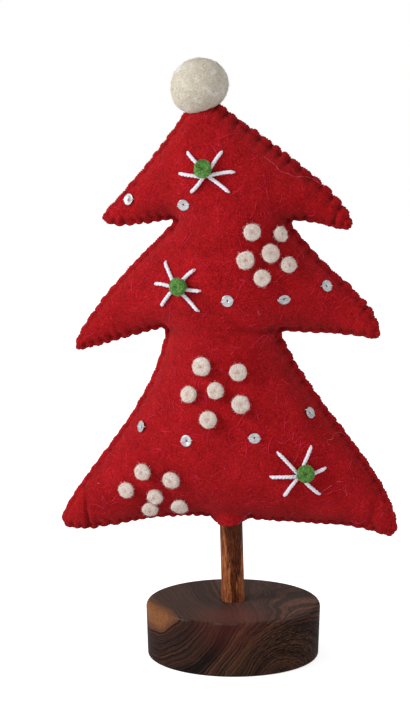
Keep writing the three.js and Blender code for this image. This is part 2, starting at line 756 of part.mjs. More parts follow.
function strand(skin, from, to, diameter) {
  const places = Array.from({ length: YARN_STEPS + 1 }, (_, i) => (
    strandPlace(skin, from.clone().lerp(to, i / YARN_STEPS))
  ));
  const section = new THREE.Shape(Array.from({ length: YARN_SIDES }, (_, i) => (
    flat(diameter / 2, 0).rotateAround(flat(0, 0), (2 * Math.PI * i) / YARN_SIDES)
  )));
  return new THREE.ExtrudeGeometry(section, {
    steps: YARN_STEPS,
    extrudePath: new THREE.CatmullRomCurve3(places),
    bevelEnabled: false,
  });
}

// The ball sits over the yarn, which lies in channels that are open towards the felt.
function makeStar(name, { at, ball, rays }, skin) {
  const hub = placeOf(at);
  const knotPlace = strandPlace(skin, hub);
  const yarn = (gap) => [
    new THREE.SphereGeometry(YARN_KNOT_DIAMETER / 2 + gap, YARN_KNOT_SIDES, YARN_KNOT_SIDES)
      .translate(...knotPlace),
    ...rays.map((ray) => (
      strand(skin, hub, polar(hub, STAR_RADIUS, ray), YARN_DIAMETER + 2 * gap)
    )),
  ];
  const place = hub.clone().addScaledVector(flat(...ball), STAR_RADIUS);
  const bead = skin.seat(smallBall(BEAD_DIAMETER, BEAD_HEIGHT), place, BEAD_DIAMETER / 2);
  const toFelt = skin.at(hub).normal.multiplyScalar(-YARN_DIAMETER / 2);
  const channels = [...yarn(YARN_GAP), ...yarn(YARN_GAP).map((g) => g.translate(...toFelt))];
  return [
    piece(`${name}_yarn`, joined(yarn(0)), 0xf4f1ea, 1),
    piece(`${name}_ball`, cutBy(bead, ...channels), 0x3f8f3a, 1),
  ];
}

function makeSequin(number, shares, skin) {
  const [hole, rim] = [SEQUIN_HOLE / 2, SEQUIN_DIAMETER / 2];
  const section = [
    flat(hole, 0),
    flat(rim, SEQUIN_CUP),
    flat(rim, SEQUIN_CUP + SEQUIN_THICKNESS),
    flat(hole, SEQUIN_THICKNESS),
    flat(hole, 0),
  ];
  const ring = skin.seat(new THREE.LatheGeometry(section, SEQUIN_SIDES), placeOf(shares), rim);
  return piece(`sequin_${number}`, ring, 0xc9cbd0, 0.25, 0.9);
}

// The ball sits on the apex, which has pushed a dent of its own shape into it.
function makeTopBall({ points, at, triangles, outward }, skinHeight) {
  const apex = apexMiddle();
  const radius = TOP_BALL_HEIGHT / 2;
  const widen = TOP_BALL_DIAMETER / TOP_BALL_HEIGHT;
  const ball = new THREE.SphereGeometry(radius, TOP_BALL_SIDES, TOP_BALL_STEPS).rotateX(Math.PI / 2);
  ball.scale(widen, widen, 1).rotateY(THREE.MathUtils.degToRad(TOP_BALL_TILT_DEGREES));
  ball.translate(apex.x - TOP_BALL_SHIFT, 0, apex.y + radius - TOP_BALL_SINK);
  const tip = triangles.filter((t) => t.some((i) => at[i].y > apex.y - TOP_BALL_SINK));
  const spread = at.map((p, i) => (
    points[i].kind === EDGE ? p.clone().addScaledVector(outward[i], SEAT_GAP) : p
  ));
  const depth = skinHeight.map((h) => h + SEAT_GAP);
  const dent = slab(spread, tip, depth.map((d) => -d), depth);
  return piece('top_ball', cutBy(ball, dent), 0xe6ddcd, 1);
}

function makeTree() {
  const tree = new THREE.Group();
  tree.position.z = FOOT_THICKNESS;
  tree.rotation.y = -THREE.MathUtils.degToRad(TRUNK_LEAN_DEGREES);
  const pattern = cutPattern();
  const { at, triangles } = pattern;
  const room = roomInside(pattern);
  const thickness = feltThickness(pattern, room);
  const outer = room.map((r, i) => r + thickness[i]);
  const mirrored = (heights) => heights.map((h) => -h);
  const skin = new Skin(pattern, outer);
  tree.add(
    makeTrunk(),
    piece('front_felt', slab(at, triangles, mirrored(outer), mirrored(room)), 0xa81524, 1),
    piece('back_felt', slab(at, triangles, room, outer), 0xa81524, 1),
    makeStuffing(pattern, room),
    makeTopBall(pattern, outer),
    ...Object.entries(FLOWER_SHARES).flatMap(([name, flower]) => makeFlower(name, flower, skin)),
    ...Object.entries(STAR_SHARES).flatMap(([name, star]) => makeStar(name, star, skin)),
    ...SEQUIN_PLACE_SHARES.map((place, i) => makeSequin(i + 1, place, skin)),
  );
  return tree;
}

const object = new THREE.Group();
object.add(makeFoot(), makeTree());

export default object;
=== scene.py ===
import math
import random

import bmesh
import bpy
import numpy as np
from mathutils import Matrix, Vector, noise
from mathutils.bvhtree import BVHTree
from mathutils.kdtree import KDTree


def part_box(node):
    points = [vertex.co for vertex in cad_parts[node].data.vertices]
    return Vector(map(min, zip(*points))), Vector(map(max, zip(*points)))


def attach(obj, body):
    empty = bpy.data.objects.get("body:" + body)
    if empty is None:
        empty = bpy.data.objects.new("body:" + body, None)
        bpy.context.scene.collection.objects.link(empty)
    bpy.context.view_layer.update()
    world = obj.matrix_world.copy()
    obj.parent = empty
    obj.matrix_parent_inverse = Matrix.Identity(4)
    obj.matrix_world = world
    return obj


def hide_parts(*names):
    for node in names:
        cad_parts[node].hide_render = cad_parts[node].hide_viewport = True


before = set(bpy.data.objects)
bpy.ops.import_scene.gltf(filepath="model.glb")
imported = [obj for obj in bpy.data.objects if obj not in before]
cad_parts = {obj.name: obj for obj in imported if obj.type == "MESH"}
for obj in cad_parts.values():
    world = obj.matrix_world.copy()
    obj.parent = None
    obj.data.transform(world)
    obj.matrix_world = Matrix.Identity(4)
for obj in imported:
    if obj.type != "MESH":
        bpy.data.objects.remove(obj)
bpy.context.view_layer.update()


# Camera: a long lens in front of the tree and a little to its right, just above the height
# of its apex and looking down on it, as in the photograph.
LENS = 128.2
CAMERA_PLACE = (0.1712, -1.2180, 0.3593)
DEGREES_DOWN, DEGREES_TO_LEFT = 9.444, 8.666
camera_data = bpy.data.cameras.new("studio_camera")
camera_data.sensor_fit = "VERTICAL"
camera_data.sensor_height = 36
camera_data.lens = LENS
camera = bpy.data.objects.new("studio_camera", camera_data)
camera.location = CAMERA_PLACE
camera.rotation_euler = (math.radians(90 - DEGREES_DOWN), 0, math.radians(DEGREES_TO_LEFT))
bpy.context.scene.collection.objects.link(camera)
bpy.context.scene.camera = camera
bpy.context.scene.view_settings.view_transform = "Standard"


# Studio: a pale sweep of paper under and behind the tree, lit by the room, by a large soft
# lamp on the left and by a faint one on the right. To the camera paper and room are white.
class Socket:
    """A socket of a material: an expression on it adds the nodes that it needs."""

    def __init__(self, tree, link):
        self.tree, self.link = tree, link

    def node(self, kind, settings=None, inputs=None, output=0):
        """Another node of the same material, with its settings made before its inputs."""
        made = self.tree.nodes.new(kind)
        for name, value in (settings or {}).items():
            if name == "stops":
                stops = made.color_ramp.elements
                while len(stops) < len(value):
                    stops.new(1)
                for stop, (place, color) in zip(stops, value):
                    stop.position = place
                    stop.color = (*color, 1)
            else:
                setattr(made, name, value)
        for name, value in (inputs or {}).items():
            if isinstance(value, Socket):
                self.tree.links.new(value.link, made.inputs[name])
            else:
                made.inputs[name].default_value = value
        return Socket(self.tree, made.outputs[output])

    def math(self, operation, *others):
        inputs = dict(enumerate((self, *others)))
        return self.node("ShaderNodeMath", {"operation": operation}, inputs)

    def vector(self, operation, *others, output=0):
        inputs = dict(enumerate((self, *others)))
        return self.node("ShaderNodeVectorMath", {"operation": operation}, inputs, output)

    def __add__(self, other):
        return self.math("ADD", other)

    def __sub__(self, other):
        return self.math("SUBTRACT", other)

    def __rsub__(self, other):
        return self.node("ShaderNodeMath", {"operation": "SUBTRACT"}, {0: other, 1: self})

    def __mul__(self, other):
        return self.math("MULTIPLY", other)

    def __truediv__(self, other):
        return self.math("DIVIDE", other)

    def __rtruediv__(self, other):
        return self.node("ShaderNodeMath", {"operation": "DIVIDE"}, {0: other, 1: self})

    __radd__ = __add__
    __rmul__ = __mul__

    def between(self, low, high):
        """0 up to `low`, 1 from `high` on, and a soft step in the middle."""
        settings = {"interpolation_type": "SMOOTHSTEP"}
        return self.node("ShaderNodeMapRange", settings, {0: self, 1: low, 2: high})

    def ramp(self, *stops):
        return self.node("ShaderNodeValToRGB", {"stops": stops}, {0: self})

    def mix(self, first, second):
        """Colour `second` over `first`, by this mask."""
        colors = [(*c, 1) if isinstance(c, tuple) else c for c in (first, second)]
        return self.node(
            "ShaderNodeMix", {"data_type": "RGBA"}, {0: self, 6: colors[0], 7: colors[1]}, 2
        )

    def grain(self, scale, detail=3, roughness=0.5, distortion=0, output=0):
        """Noise at these coordinates, `scale` lumps to the metre."""
        inputs = {
            "Vector": self, "Scale": scale, "Detail": detail,
            "Roughness": roughness, "Distortion": distortion,
        }
        return self.node("ShaderNodeTexNoise", None, inputs, output)

    def part(self, axis):
        """One of the three parts of these coordinates."""
        return self.node("ShaderNodeSeparateXYZ", None, {0: self}, axis)


def white_to_camera(tree, lit, glow):
    """A shader that adds `glow` for rays that come from the camera, a mirror or glass."""
    here = Socket(tree, None)
    from_camera, from_mirror, from_glass = (
        here.node("ShaderNodeLightPath", output=name)
        for name in ("Is Camera Ray", "Is Glossy Ray", "Is Transmission Ray")
    )
    seen = (from_camera + from_mirror + from_glass).math("MINIMUM", 1)
    both = here.node("ShaderNodeAddShader", None, {0: lit, 1: glow})
    return here.node("ShaderNodeMixShader", None, {0: seen, 1: lit, 2: both})


ROOM_LEVEL = 0.52
PAPER_GLOW = 0.70
PAPER_REACH = 2
TREE_MIDDLE = 0.16
WHITE, PALE_GREY = (1, 1, 1, 1), (0.8, 0.8, 0.8, 1)
world = bpy.data.worlds.new("studio_room")
world.use_nodes = True
bpy.context.scene.world = world
room = Socket(world.node_tree, None)
lit = room.node("ShaderNodeBackground", None, {"Color": WHITE, "Strength": ROOM_LEVEL})
glow = room.node("ShaderNodeBackground", None, {"Color": WHITE, "Strength": 1 - ROOM_LEVEL})
seen = white_to_camera(world.node_tree, lit, glow)
world.node_tree.links.new(seen.link, world.node_tree.nodes["World Output"].inputs["Surface"])

bm = bmesh.new()
bmesh.ops.create_grid(bm, x_segments=8, y_segments=8, size=PAPER_REACH)
paper_mesh = bpy.data.meshes.new("paper_floor")
bm.to_mesh(paper_mesh)
bm.free()
paper = bpy.data.objects.new("paper_floor", paper_mesh)
bpy.context.scene.collection.objects.link(paper)
paper_white = bpy.data.materials.new("paper_white")
paper_white.use_nodes = True
paper_mesh.materials.append(paper_white)
sheet = Socket(paper_white.node_tree, None)
lit = sheet.node("ShaderNodeBsdfDiffuse", None, {"Color": PALE_GREY})
glow = sheet.node("ShaderNodeEmission", None, {"Color": WHITE, "Strength": PAPER_GLOW})
seen = white_to_camera(paper_white.node_tree, lit, glow)
paper_out = paper_white.node_tree.nodes["Material Output"]
paper_white.node_tree.links.new(seen.link, paper_out.inputs["Surface"])


def soft_lamp(name, place, size, power):
    """A square lamp that looks at the middle of the tree."""
    data = bpy.data.lights.new(name, "AREA")
    data.shape = "SQUARE"
    data.size = size
    data.energy = power
    lamp = bpy.data.objects.new(name, data)
    lamp.location = place
    toward_tree = Vector((0, 0, TREE_MIDDLE)) - lamp.location
    lamp.rotation_euler = toward_tree.to_track_quat("-Z", "Y").to_euler()
    bpy.context.scene.collection.objects.link(lamp)


soft_lamp("window_lamp", place=(-1.2, -0.78, 0.85), size=0.7, power=17.0)
soft_lamp("fill_lamp", place=(0.9, -1.1, 0.5), size=0.9, power=2.6)


# Foot: a thick disc turned from dark figured hardwood, oiled to a low sheen that is painted into
# its colour, as a lighter, greyer top face and a pale highlight along the top edge. Its top edge
# is eased, its side runs in slightly to the underside, and a hole takes the trunk.
def made(name, bm, material, slot, *replaced):
    """The finished piece of a mesh, in its place, in its finish and on its body."""
    mesh = bpy.data.meshes.new(name)
    bm.to_mesh(mesh)
    bm.free()
    for face in mesh.polygons:
        face.use_smooth = True
    mesh.materials.append(material)
    piece = bpy.data.objects.new(name, mesh)
    bpy.context.scene.collection.objects.link(piece)
    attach(piece, "root")
    if replaced:
        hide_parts(*replaced)
    return piece


def new_material(name, roughness, **settings):
    """A material and the coordinates of whatever piece wears it."""
    material = bpy.data.materials.new(name)
    material.use_nodes = True
    surface = material.node_tree.nodes["Principled BSDF"]
    surface.inputs["Roughness"].default_value = roughness
    for setting, value in settings.items():
        surface.inputs[setting.replace("_", " ")].default_value = value
    here = Socket(material.node_tree, None)
    return material, here.node("ShaderNodeTexCoord", output="Object")


def wear(material, color, bump, depth, roughness=None):
    """Gives a material its colour and its bump, `depth` in metres."""
    surface = material.node_tree.nodes["Principled BSDF"]
    links = material.node_tree.links
    links.new(color.link, surface.inputs["Base Color"])
    relief = bump.node("ShaderNodeBump", None, {"Strength": 1, "Distance": depth, "Height": bump})
    links.new(relief.link, surface.inputs["Normal"])
    if roughness:
        links.new(roughness.link, surface.inputs["Roughness"])


TOUCHING = 1e-6


def lathe(bm, steps):
    """Turns the edges of a bmesh once round the upright axis."""
    bmesh.ops.spin(
        bm, geom=bm.verts[:] + bm.edges[:], cent=(0, 0, 0), axis=(0, 0, 1),
        angle=2 * math.pi, steps=steps, use_merge=True,
    )
    bmesh.ops.remove_doubles(bm, verts=bm.verts, dist=TOUCHING)
    bmesh.ops.recalc_face_normals(bm, faces=bm.faces)


def bend(place, *waves):
    """Coordinates moved about by noise: a wave is its lumps to the metre and its reach."""
    bent = place
    for scale, reach in waves:
        wave = place.grain(scale, 2, output="Color").vector("SUBTRACT", (0.5, 0.5, 0.5))
        bent = wave.vector("MULTIPLY_ADD", (reach,) * 3, bent)
    return bent


FOOT_RADIUS = 0.044
FOOT_HEIGHT = 0.0278
FOOT_TAPER = 0.0009
FOOT_HOLE = 0.0061
FOOT_HOLE_FLOOR = 0.0105
FOOT_EASES = (0.0014, 0.0028, 0.0003)  # of the bottom edge, the top edge and the hole's
LIMB_LINE = (-0.0462, -0.0289, 0.0300), (0.530, -0.848, 0)  # a place on it and its direction
HEART_LINE = (0.0290, -0.0350, -0.0075), (0.55, -0.83, 0.25)
RED_HEART = (0.003, -0.030, 0.027)
SAP_REACH, GOLD_REACH, RED_REACH = (0.0186, 0.0150), (0.038, 0.024), (0.026, 0.005)

bm = bmesh.new()
profile = [
    (0, 0), (FOOT_RADIUS - FOOT_TAPER, 0), (FOOT_RADIUS, FOOT_HEIGHT),
    (FOOT_HOLE, FOOT_HEIGHT), (FOOT_HOLE, FOOT_HOLE_FLOOR), (0, FOOT_HOLE_FLOOR),
]
corners = [bm.verts.new((x, 0, z)) for x, z in profile]
for start, end in zip(corners, corners[1:]):
    bm.edges.new((start, end))
for corner, ease in zip(corners[1:4], FOOT_EASES):
    bmesh.ops.bevel(
        bm, geom=[corner], offset=ease, offset_type="OFFSET", affect="VERTICES",
        segments=6, profile=0.5, material=-1,
    )
lathe(bm, 128)

foot_wood, place = new_material("figured_hardwood", 0.6, Specular_IOR_Level=0.012)
bent = bend(place, (24, 0.013), (420, 0.0009))


def from_line(spot, start, direction):
    """Distance of a spot from a line through the wood."""
    off = spot.vector("SUBTRACT", start)
    off = off.vector("CROSS_PRODUCT", tuple(Vector(direction).normalized()))
    return off.vector("LENGTH", output="Value")


limb, heart = from_line(bent, *LIMB_LINE), from_line(bent, *HEART_LINE)
rings = (limb / heart).math("LOGARITHM", 2.718)


def along_rings(scale, detail, roughness):
    """Noise that changes only from one growth ring to the next."""
    return rings.node(
        "ShaderNodeTexNoise", {"noise_dimensions": "1D"},
        {"W": rings, "Scale": scale, "Detail": detail, "Roughness": roughness},
    )


bands, lines = along_rings(2.7, 2, 0.5), along_rings(15, 3, 0.75)
pores = rings.node("ShaderNodeCombineXYZ", None, {0: rings * 85, 1: limb * 300, 2: heart * 300})
pores = pores.grain(1, 4, 0.8)
wood = (bands * 0.7 + pores * 0.55).ramp(
    (0.52, (0.012, 0.008, 0.008)),
    (0.61, (0.034, 0.018, 0.015)),
    (0.70, (0.072, 0.031, 0.021)),
    (0.80, (0.125, 0.057, 0.034)),
)
dark_lines = lines.between(0.48, 0.56) * pores.between(0.26, 0.48)
wood = (dark_lines * 0.92).mix(wood, (0.005, 0.004, 0.004))
wood = (pores.between(0.57, 0.68) * 0.6).mix(wood, (0.165, 0.070, 0.037))
red_heart = place.vector("SUBTRACT", RED_HEART).vector("LENGTH", output="Value")
wood = (red_heart.between(*RED_REACH) * 0.6).mix(wood, (0.115, 0.024, 0.018))
gold = pores.between(0.50, 0.60) * heart.between(*GOLD_REACH)
wood = (gold * 0.5).mix(wood, (0.190, 0.086, 0.042))
height = place.part(2)
# painted sheen: the top face is painted lighter and greyer, standing in for the oil's low sheen
painted_top_sheen = height.between(FOOT_HEIGHT - 0.0008, FOOT_HEIGHT - 0.0001)
wood = painted_top_sheen.mix(wood, wood.vector("MULTIPLY", (1.35, 1.35, 1.4)))
wood = (painted_top_sheen * 0.38).mix(wood, (0.096, 0.056, 0.042))
# painted highlight: a pale, broken line painted along the eased top edge where the light would
# glint
painted_edge_highlight = height.between(FOOT_HEIGHT - 0.0015, FOOT_HEIGHT - 0.0009)
painted_edge_highlight *= height.between(FOOT_HEIGHT - 0.0003, FOOT_HEIGHT - 0.0008)
painted_edge_highlight *= place.grain(45, 2).between(0.46, 0.60)
wood = (painted_edge_highlight * 0.35).mix(wood, (0.150, 0.120, 0.120))
sap_wood = (pores * 0.5 + place.grain(1500, 2) * 0.5).ramp(
    (0.38, (0.125, 0.048, 0.020)), (0.62, (0.290, 0.118, 0.050))
)
wood = (limb + pores * 0.003).between(*SAP_REACH).mix(wood, sap_wood)
wear(foot_wood, wood, pores + bands * 0.4, 0.00012)
made("turned_foot", bm, foot_wood, "foot_wood", "foot")


# Trunk: a rod of orange-brown hardwood planed to a few uneven flats, glued into the foot and
# pushed up into the stuffing. Its arrises are lightly broken.
def from_solid(node):
    """A bmesh of a solid's triangles, joined at their corners."""
    bm = bmesh.new()
    bm.from_mesh(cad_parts[node].data)
    bmesh.ops.remove_doubles(bm, verts=bm.verts, dist=TOUCHING)
    return bm


LEAN = math.radians(1.7)
ARRIS = 0.00035
FLATS_DIVIDED = 0.06  # the height of a ring of edges across the flats
STREAK_PLACE, STREAK_HALF, STREAK_SWAY = 0.0026, 0.0014, 0.003
tree_frame = Matrix.Translation((0, 0, FOOT_HEIGHT)) @ Matrix.Rotation(-LEAN, 4, "Y")
bm = from_solid("trunk")
bmesh.ops.dissolve_limit(bm, angle_limit=0.01, verts=bm.verts, edges=bm.edges)
bmesh.ops.bevel(
    bm, geom=bm.edges[:], offset=ARRIS, affect="EDGES", segments=2, profile=0.5, material=-1,
)
bmesh.ops.bisect_plane(
    bm, geom=bm.verts[:] + bm.edges[:] + bm.faces[:],
    plane_co=(0, 0, FLATS_DIVIDED), plane_no=(0, 0, 1),
)
trunk_wood, place = new_material("planed_hardwood", 0.6, Specular_IOR_Level=0.06)
upright = place.node("ShaderNodeMapping", None, {"Vector": place, "Rotation": (0, LEAN, 0)})
stretched = upright.vector("MULTIPLY", (1, 1, 0.13))
fibre = stretched.grain(2300, 4, 0.7)
figure = stretched.grain(560, 4, 0.7, 1.2)
drift = upright.vector("MULTIPLY", (0, 0, 1)).grain(60, 3, 0.6)
offset = upright.part(0) - STREAK_PLACE + (drift - 0.5) * STREAK_SWAY
offset = offset.math("ABSOLUTE") + (figure - 0.5) * 0.008
narrowing = (upright.part(2) - 0.028) * 0.085
dark = (narrowing + STREAK_HALF - offset).between(-0.0004, 0.0008)
trunk_color = (figure * 0.6 + fibre * 0.45).ramp(
    (0.42, (0.075, 0.018, 0.007)),
    (0.51, (0.230, 0.062, 0.021)),
    (0.62, (0.480, 0.165, 0.058)),
)
dark_color = fibre.ramp((0.42, (0.022, 0.005, 0.003)), (0.60, (0.140, 0.033, 0.013)))
trunk_color = (dark * 0.92).mix(trunk_color, dark_color)
wear(trunk_wood, trunk_color, fibre + figure, 0.0003)
trunk = made("planed_trunk", bm, trunk_wood, "trunk_wood", "trunk")
for face in trunk.data.polygons:
    face.use_smooth = False


# Felts: two sheets of thick wet-felted wool, cut alike, overcast together round the rim and
# stuffed hard. Each stitch pulls a nick into the edge and a dimple in beside it, and the
# fullness that it gathers runs in as soft folds. The ornaments are pulled down into the front.
FELT_THICKNESS = 0.0022
SEAM_GAP = 0.00015
HOLE_LINE = 0.0030
FULLEST = 0.0249
ROUNDNESS = 0.56
STEP = 0.0055 / 24
CELL = 0.0008
MOUTH_RADIUS = 0.0064
TRUNK_SHOWN = 0.0418
LIP_SAG = 0.0014
TRUNK_CLEAR = 0.00615
COLLAR = {-1: (0.0055, 0.0015), 1: (0.0026, 0.0005)}
TIP_ROUND = 0.0135
NOTCH_ROUND = 0.0026
APEX_CROWN = 0.0016
EDGE_ROUND = 0.0018
SCALLOP_REACH = 0.005
CREASE_START, CREASE_WIDTH = 0.002, 0.0007
RIDGE_WIDTH = 0.0024
HOLE_RADIUS, HOLE_DEPTH = 0.0007, 0.0005
TIERS = {
    "bottom": {
        "level": 0.0425, "rise": 0.095, "width": 0.1702,
        -1: (0.534, 0.063, 0.174, 0.024, (0.052, -0.030), (0.006, -0.110)),
        1: (0.503, 0.131, 0.16, -0.003, (0.019, 0.085), (0.099, -0.032)),
    },
    "middle": {
        "level": 0.1375, "rise": 0.055, "width": 0.1548,
        -1: (0.516, 0.205, 0.148, 0.018, (0.022, 0.009), (0.065, 0.043)),
        1: (0.517, 0.117, 0.216, -0.016, (0.028, 0.052), (0.094, -0.016)),
    },
    "top": {
        "level": 0.1925, "rise": 0.058, "width": 0.126,
        -1: (0.506, -0.015, 0.115, 0, (-0.021, -0.086), (-0.026, -0.040)),
        1: (0.538, 0.070, 0.006, -0.012, (0.070, -0.082), (0.071, 0.020)),
    },
}


def curve(*corners):
    """Points on the Bezier curve of these corners, without the last."""
    way = np.linspace(0, 1, 60, endpoint=False)[:, None]
    last = len(corners) - 1
    return sum(
        math.comb(last, k) * way**k * (1 - way) ** (last - k) * np.array(corner)
        for k, corner in enumerate(corners)
    )


def toward(start, end, distance):
    """The place so far on the way from one corner to the next, but at most half way."""
    return start + (end - start) * min(0.5, distance / np.linalg.norm(end - start))


def bowed(start, end, bows, outward):
    """The inner corners of a curve, pushed out by shares of the length between its ends."""
    side = np.array([end[1] - start[1], start[0] - end[0]]) * outward
    return [start + (end - start) * (k + 1) / 3 + side * bow for k, bow in enumerate(bows)]


def side_cut(hand):
    """The cut edge of one side, from the mouth's corner up to the apex."""
    corner = np.array([MOUTH_RADIUS, TRUNK_SHOWN])
    notch = corner + COLLAR[hand]
    before = toward(notch, corner, NOTCH_ROUND)
    cut = [curve(corner, before)]
    for name, tier in TIERS.items():
        reach, droop, waist, lift, hem_bows, slope_bows = tier[hand]
        tip = np.array([reach * tier["width"], tier["level"] - droop * tier["rise"]])
        above = np.array([waist * tier["width"], tier["level"] + (1 + lift) * tier["rise"]])
        hem, slope = bowed(notch, tip, hem_bows, -1), bowed(tip, above, slope_bows, 1)
        hem = toward(notch, hem[0], NOTCH_ROUND), *hem, toward(tip, hem[1], TIP_ROUND)
        end = above if name == "top" else toward(above, slope[1], NOTCH_ROUND)
        slope = toward(tip, slope[0], TIP_ROUND), *slope, end
        cut += [curve(before, notch, hem[0]), curve(*hem)]
        cut += [curve(hem[-1], tip, slope[0]), curve(*slope)]
        notch, before = above, end
    return np.vstack([*cut, [before]]) * (hand, 1)


right_cut, left_cut = side_cut(1), side_cut(-1)[::-1]
crown = (right_cut[-1] + left_cut[0]) / 2 + (0, 2 * APEX_CROWN)
rim = np.vstack([right_cut[:-1], curve(right_cut[-1], crown, left_cut[0]), left_cut])
reached = np.concatenate([[0], np.cumsum(np.linalg.norm(np.diff(rim, axis=0), axis=1))])
goals = np.linspace(0, reached[-1], round(reached[-1] / STEP) + 1)
rim = np.stack([np.interp(goals, reached, rim[:, k]) for k in (0, 1)], axis=1)


def even_out(values, steps):
    """A row of values or vectors, evened out over so many steps each way."""
    padded = np.pad(values, [(steps, steps)] + [(0, 0)] * (values.ndim - 1), mode="edge")
    total = sum(padded[k:k + len(values)] for k in range(2 * steps + 1))
    return total / (2 * steps + 1)


def step(low, high, value):
    way = np.clip((value - low) / (high - low), 0, 1)
    return way * way * (3 - 2 * way)


along = even_out(np.gradient(rim, axis=0), 10)
outward = np.stack([along[:, 1], -along[:, 0]], axis=1)
outward /= np.linalg.norm(outward, axis=1)[:, None]

# the stitches: closest together on the hems and widest low on the left slope
on_hem = outward[:, 1] < -0.45
on_right = outward[:, 0] > 0
on_left_half = rim[:, 0] < 0
low_down = rim[:, 1] < 0.13
high_up = step(0.06, 0.20, rim[:, 1])


def by_place(hem, right, left):
    """A value at each point of the rim, which changes softly from one stretch to the next."""
    return even_out(np.where(on_hem, hem, np.where(on_right, right, left)), 24)


pitch = by_place(hem=0.0050, right=0.0066, left=np.where(low_down, 0.0080, 0.0062))
scallop_depth = by_place(
    hem=np.where(on_left_half, 0.0013, 0.0009), right=0.0009 + 0.0005 * high_up, left=0.0008
)
crease_depth = by_place(hem=0.0007, right=0.0004 + 0.0009 * high_up**2, left=0.00028)
crease_length = by_place(hem=0.0030, right=0.0030, left=0.0015)
rng = np.random.default_rng(12)
pitch *= 1 + 0.16 * even_out(rng.normal(size=len(rim)), 18) * 6
phase = np.cumsum((goals[1] - goals[0]) / pitch)
phase *= round(phase[-1]) / phase[-1]
count = int(phase[-1]) + 2
pull = rng.uniform(0.4, 1.3, count)
lobe = rng.uniform(0.7, 1.25, count)
slants = rng.uniform(-0.1, 0.5, count)

turn = np.linspace(0, math.pi, 60)
lip = np.stack([-MOUTH_RADIUS * np.cos(turn), TRUNK_SHOWN - LIP_SAG * np.sin(turn)], axis=1)
outline = np.vstack([rim[::4], lip[1:-1]])


def nearest_in(line):
    tree = KDTree(len(line))
    for k, (x, z) in enumerate(line):
        tree.insert((x, z, 0), k)
    tree.balance()
    return tree


edge_tree, rim_tree = nearest_in(np.vstack([rim, lip])), nearest_in(rim)


# the flat grid that both felts are cut from, drawn onto the outline where it passes near
FILM_GRIDS = (8, 4, 2, 1)
low, high = outline.min(axis=0) - 3 * CELL, outline.max(axis=0) + 3 * CELL
columns, rows = FILM_GRIDS[0] * np.ceil((high - low) / CELL / FILM_GRIDS[0]).astype(int)
xs, zs = low[0] + CELL * np.arange(columns + 1), low[1] + CELL * np.arange(rows + 1)
flat_x, flat_z = np.meshgrid(xs, zs)
inside = np.zeros(flat_x.shape, bool)
ends = np.roll(outline, -1, axis=0)
for row, z in enumerate(zs):
    crossed = (outline[:, 1] > z) != (ends[:, 1] > z)
    a, b = outline[crossed], ends[crossed]
    cuts = np.sort(a[:, 0] + (b[:, 0] - a[:, 0]) * (z - a[:, 1]) / (b[:, 1] - a[:, 1]))
    inside[row] = np.searchsorted(cuts, xs) % 2 == 1
away, to_edge = np.zeros(flat_x.shape), np.zeros(flat_x.shape)
nearest = np.zeros(flat_x.shape, int)
for row, column in np.ndindex(flat_x.shape):
    spot = Vector((xs[column], zs[row], 0))
    place, _, to_edge[row, column] = edge_tree.find(spot)
    if to_edge[row, column] < 0.5 * CELL:
        flat_x[row, column], flat_z[row, column] = place.x, place.y
        spot = place
    _, nearest[row, column], away[row, column] = rim_tree.find(spot)
on_edge = to_edge < 0.5 * CELL
used = inside | on_edge

# the swell of the fill: a film that is blown up from the seam, found on ever finer grids
HELD_AT_MOUTH, HELD_AT_RIM = 0.0015, 0.0026
WRAP_FADE = (0.068, 0.047)
FOLD_HEIGHT, FOLD_WIDTH = 0.0006, 0.0012
film = np.zeros((rows // FILM_GRIDS[0] + 1, columns // FILM_GRIDS[0] + 1))
for coarse in FILM_GRIDS:
    room = (inside & (to_edge > HELD_AT_MOUTH) & (away > HELD_AT_RIM))[::coarse, ::coarse]
    if film.shape != room.shape:
        film = film.repeat(2, axis=0).repeat(2, axis=1)[:room.shape[0], :room.shape[1]]
    for _ in range(400):
        beside = sum(np.roll(film, shift, axis) for axis in (0, 1) for shift in (1, -1))
        film = room * (beside + coarse**2) / 4
swell = (film / film.max()) ** ROUNDNESS * (FULLEST - 0.7 * FELT_THICKNESS)
wrap = np.sqrt(np.maximum(0, (TRUNK_CLEAR + FELT_THICKNESS) ** 2 - flat_x**2))
wrap *= step(*WRAP_FADE, flat_z)
fold = FOLD_HEIGHT * np.exp(-(((swell - wrap) / FOLD_WIDTH) ** 2)) * (wrap > 0)
swell = np.maximum(swell, wrap) + fold


def swing(away):
    """The share of a scallop's swing that is left so far in from the cut edge."""
    return np.maximum(0, 1 - away / SCALLOP_REACH) ** 2


def risen(away):
    """How far the outer face has risen over the cut edge, from 0 there to 1."""
    return np.sqrt(1 - (1 - np.minimum(1, away / EDGE_ROUND)) ** 2)


def edge_form(index, away):
    """What the stitches do to the felt: how far the cut edge swings out, how deep a crease
    goes in and how strongly a hole pulls."""
    at = phase[index]
    stitch = np.rint(at).astype(int)
    ends = step(0, 1, at) * step(0, 1, phase[-1] - at)
    beside = (at - stitch) * pitch[index]
    slant = beside + away * slants[stitch]
    into = np.exp(-np.maximum(0, away - CREASE_START) / crease_length[index] / pull[stitch])
    crease = pull[stitch] * crease_depth[index] * into * ends
    crease = crease * np.exp(-((np.abs(slant) / (CREASE_WIDTH + 0.15 * away)) ** 1.4))
    along = (at - np.floor(at)) ** 0.8
    round_lobe = lobe[np.floor(at).astype(int)] * np.sin(math.pi * along) ** 0.6
    scallop = (0.95 * round_lobe - 0.6) * scallop_depth[index] * ends
    hole = pull[stitch] * np.exp(-((away - HOLE_LINE) ** 2 + beside**2) / HOLE_RADIUS**2)
    return scallop, crease, hole


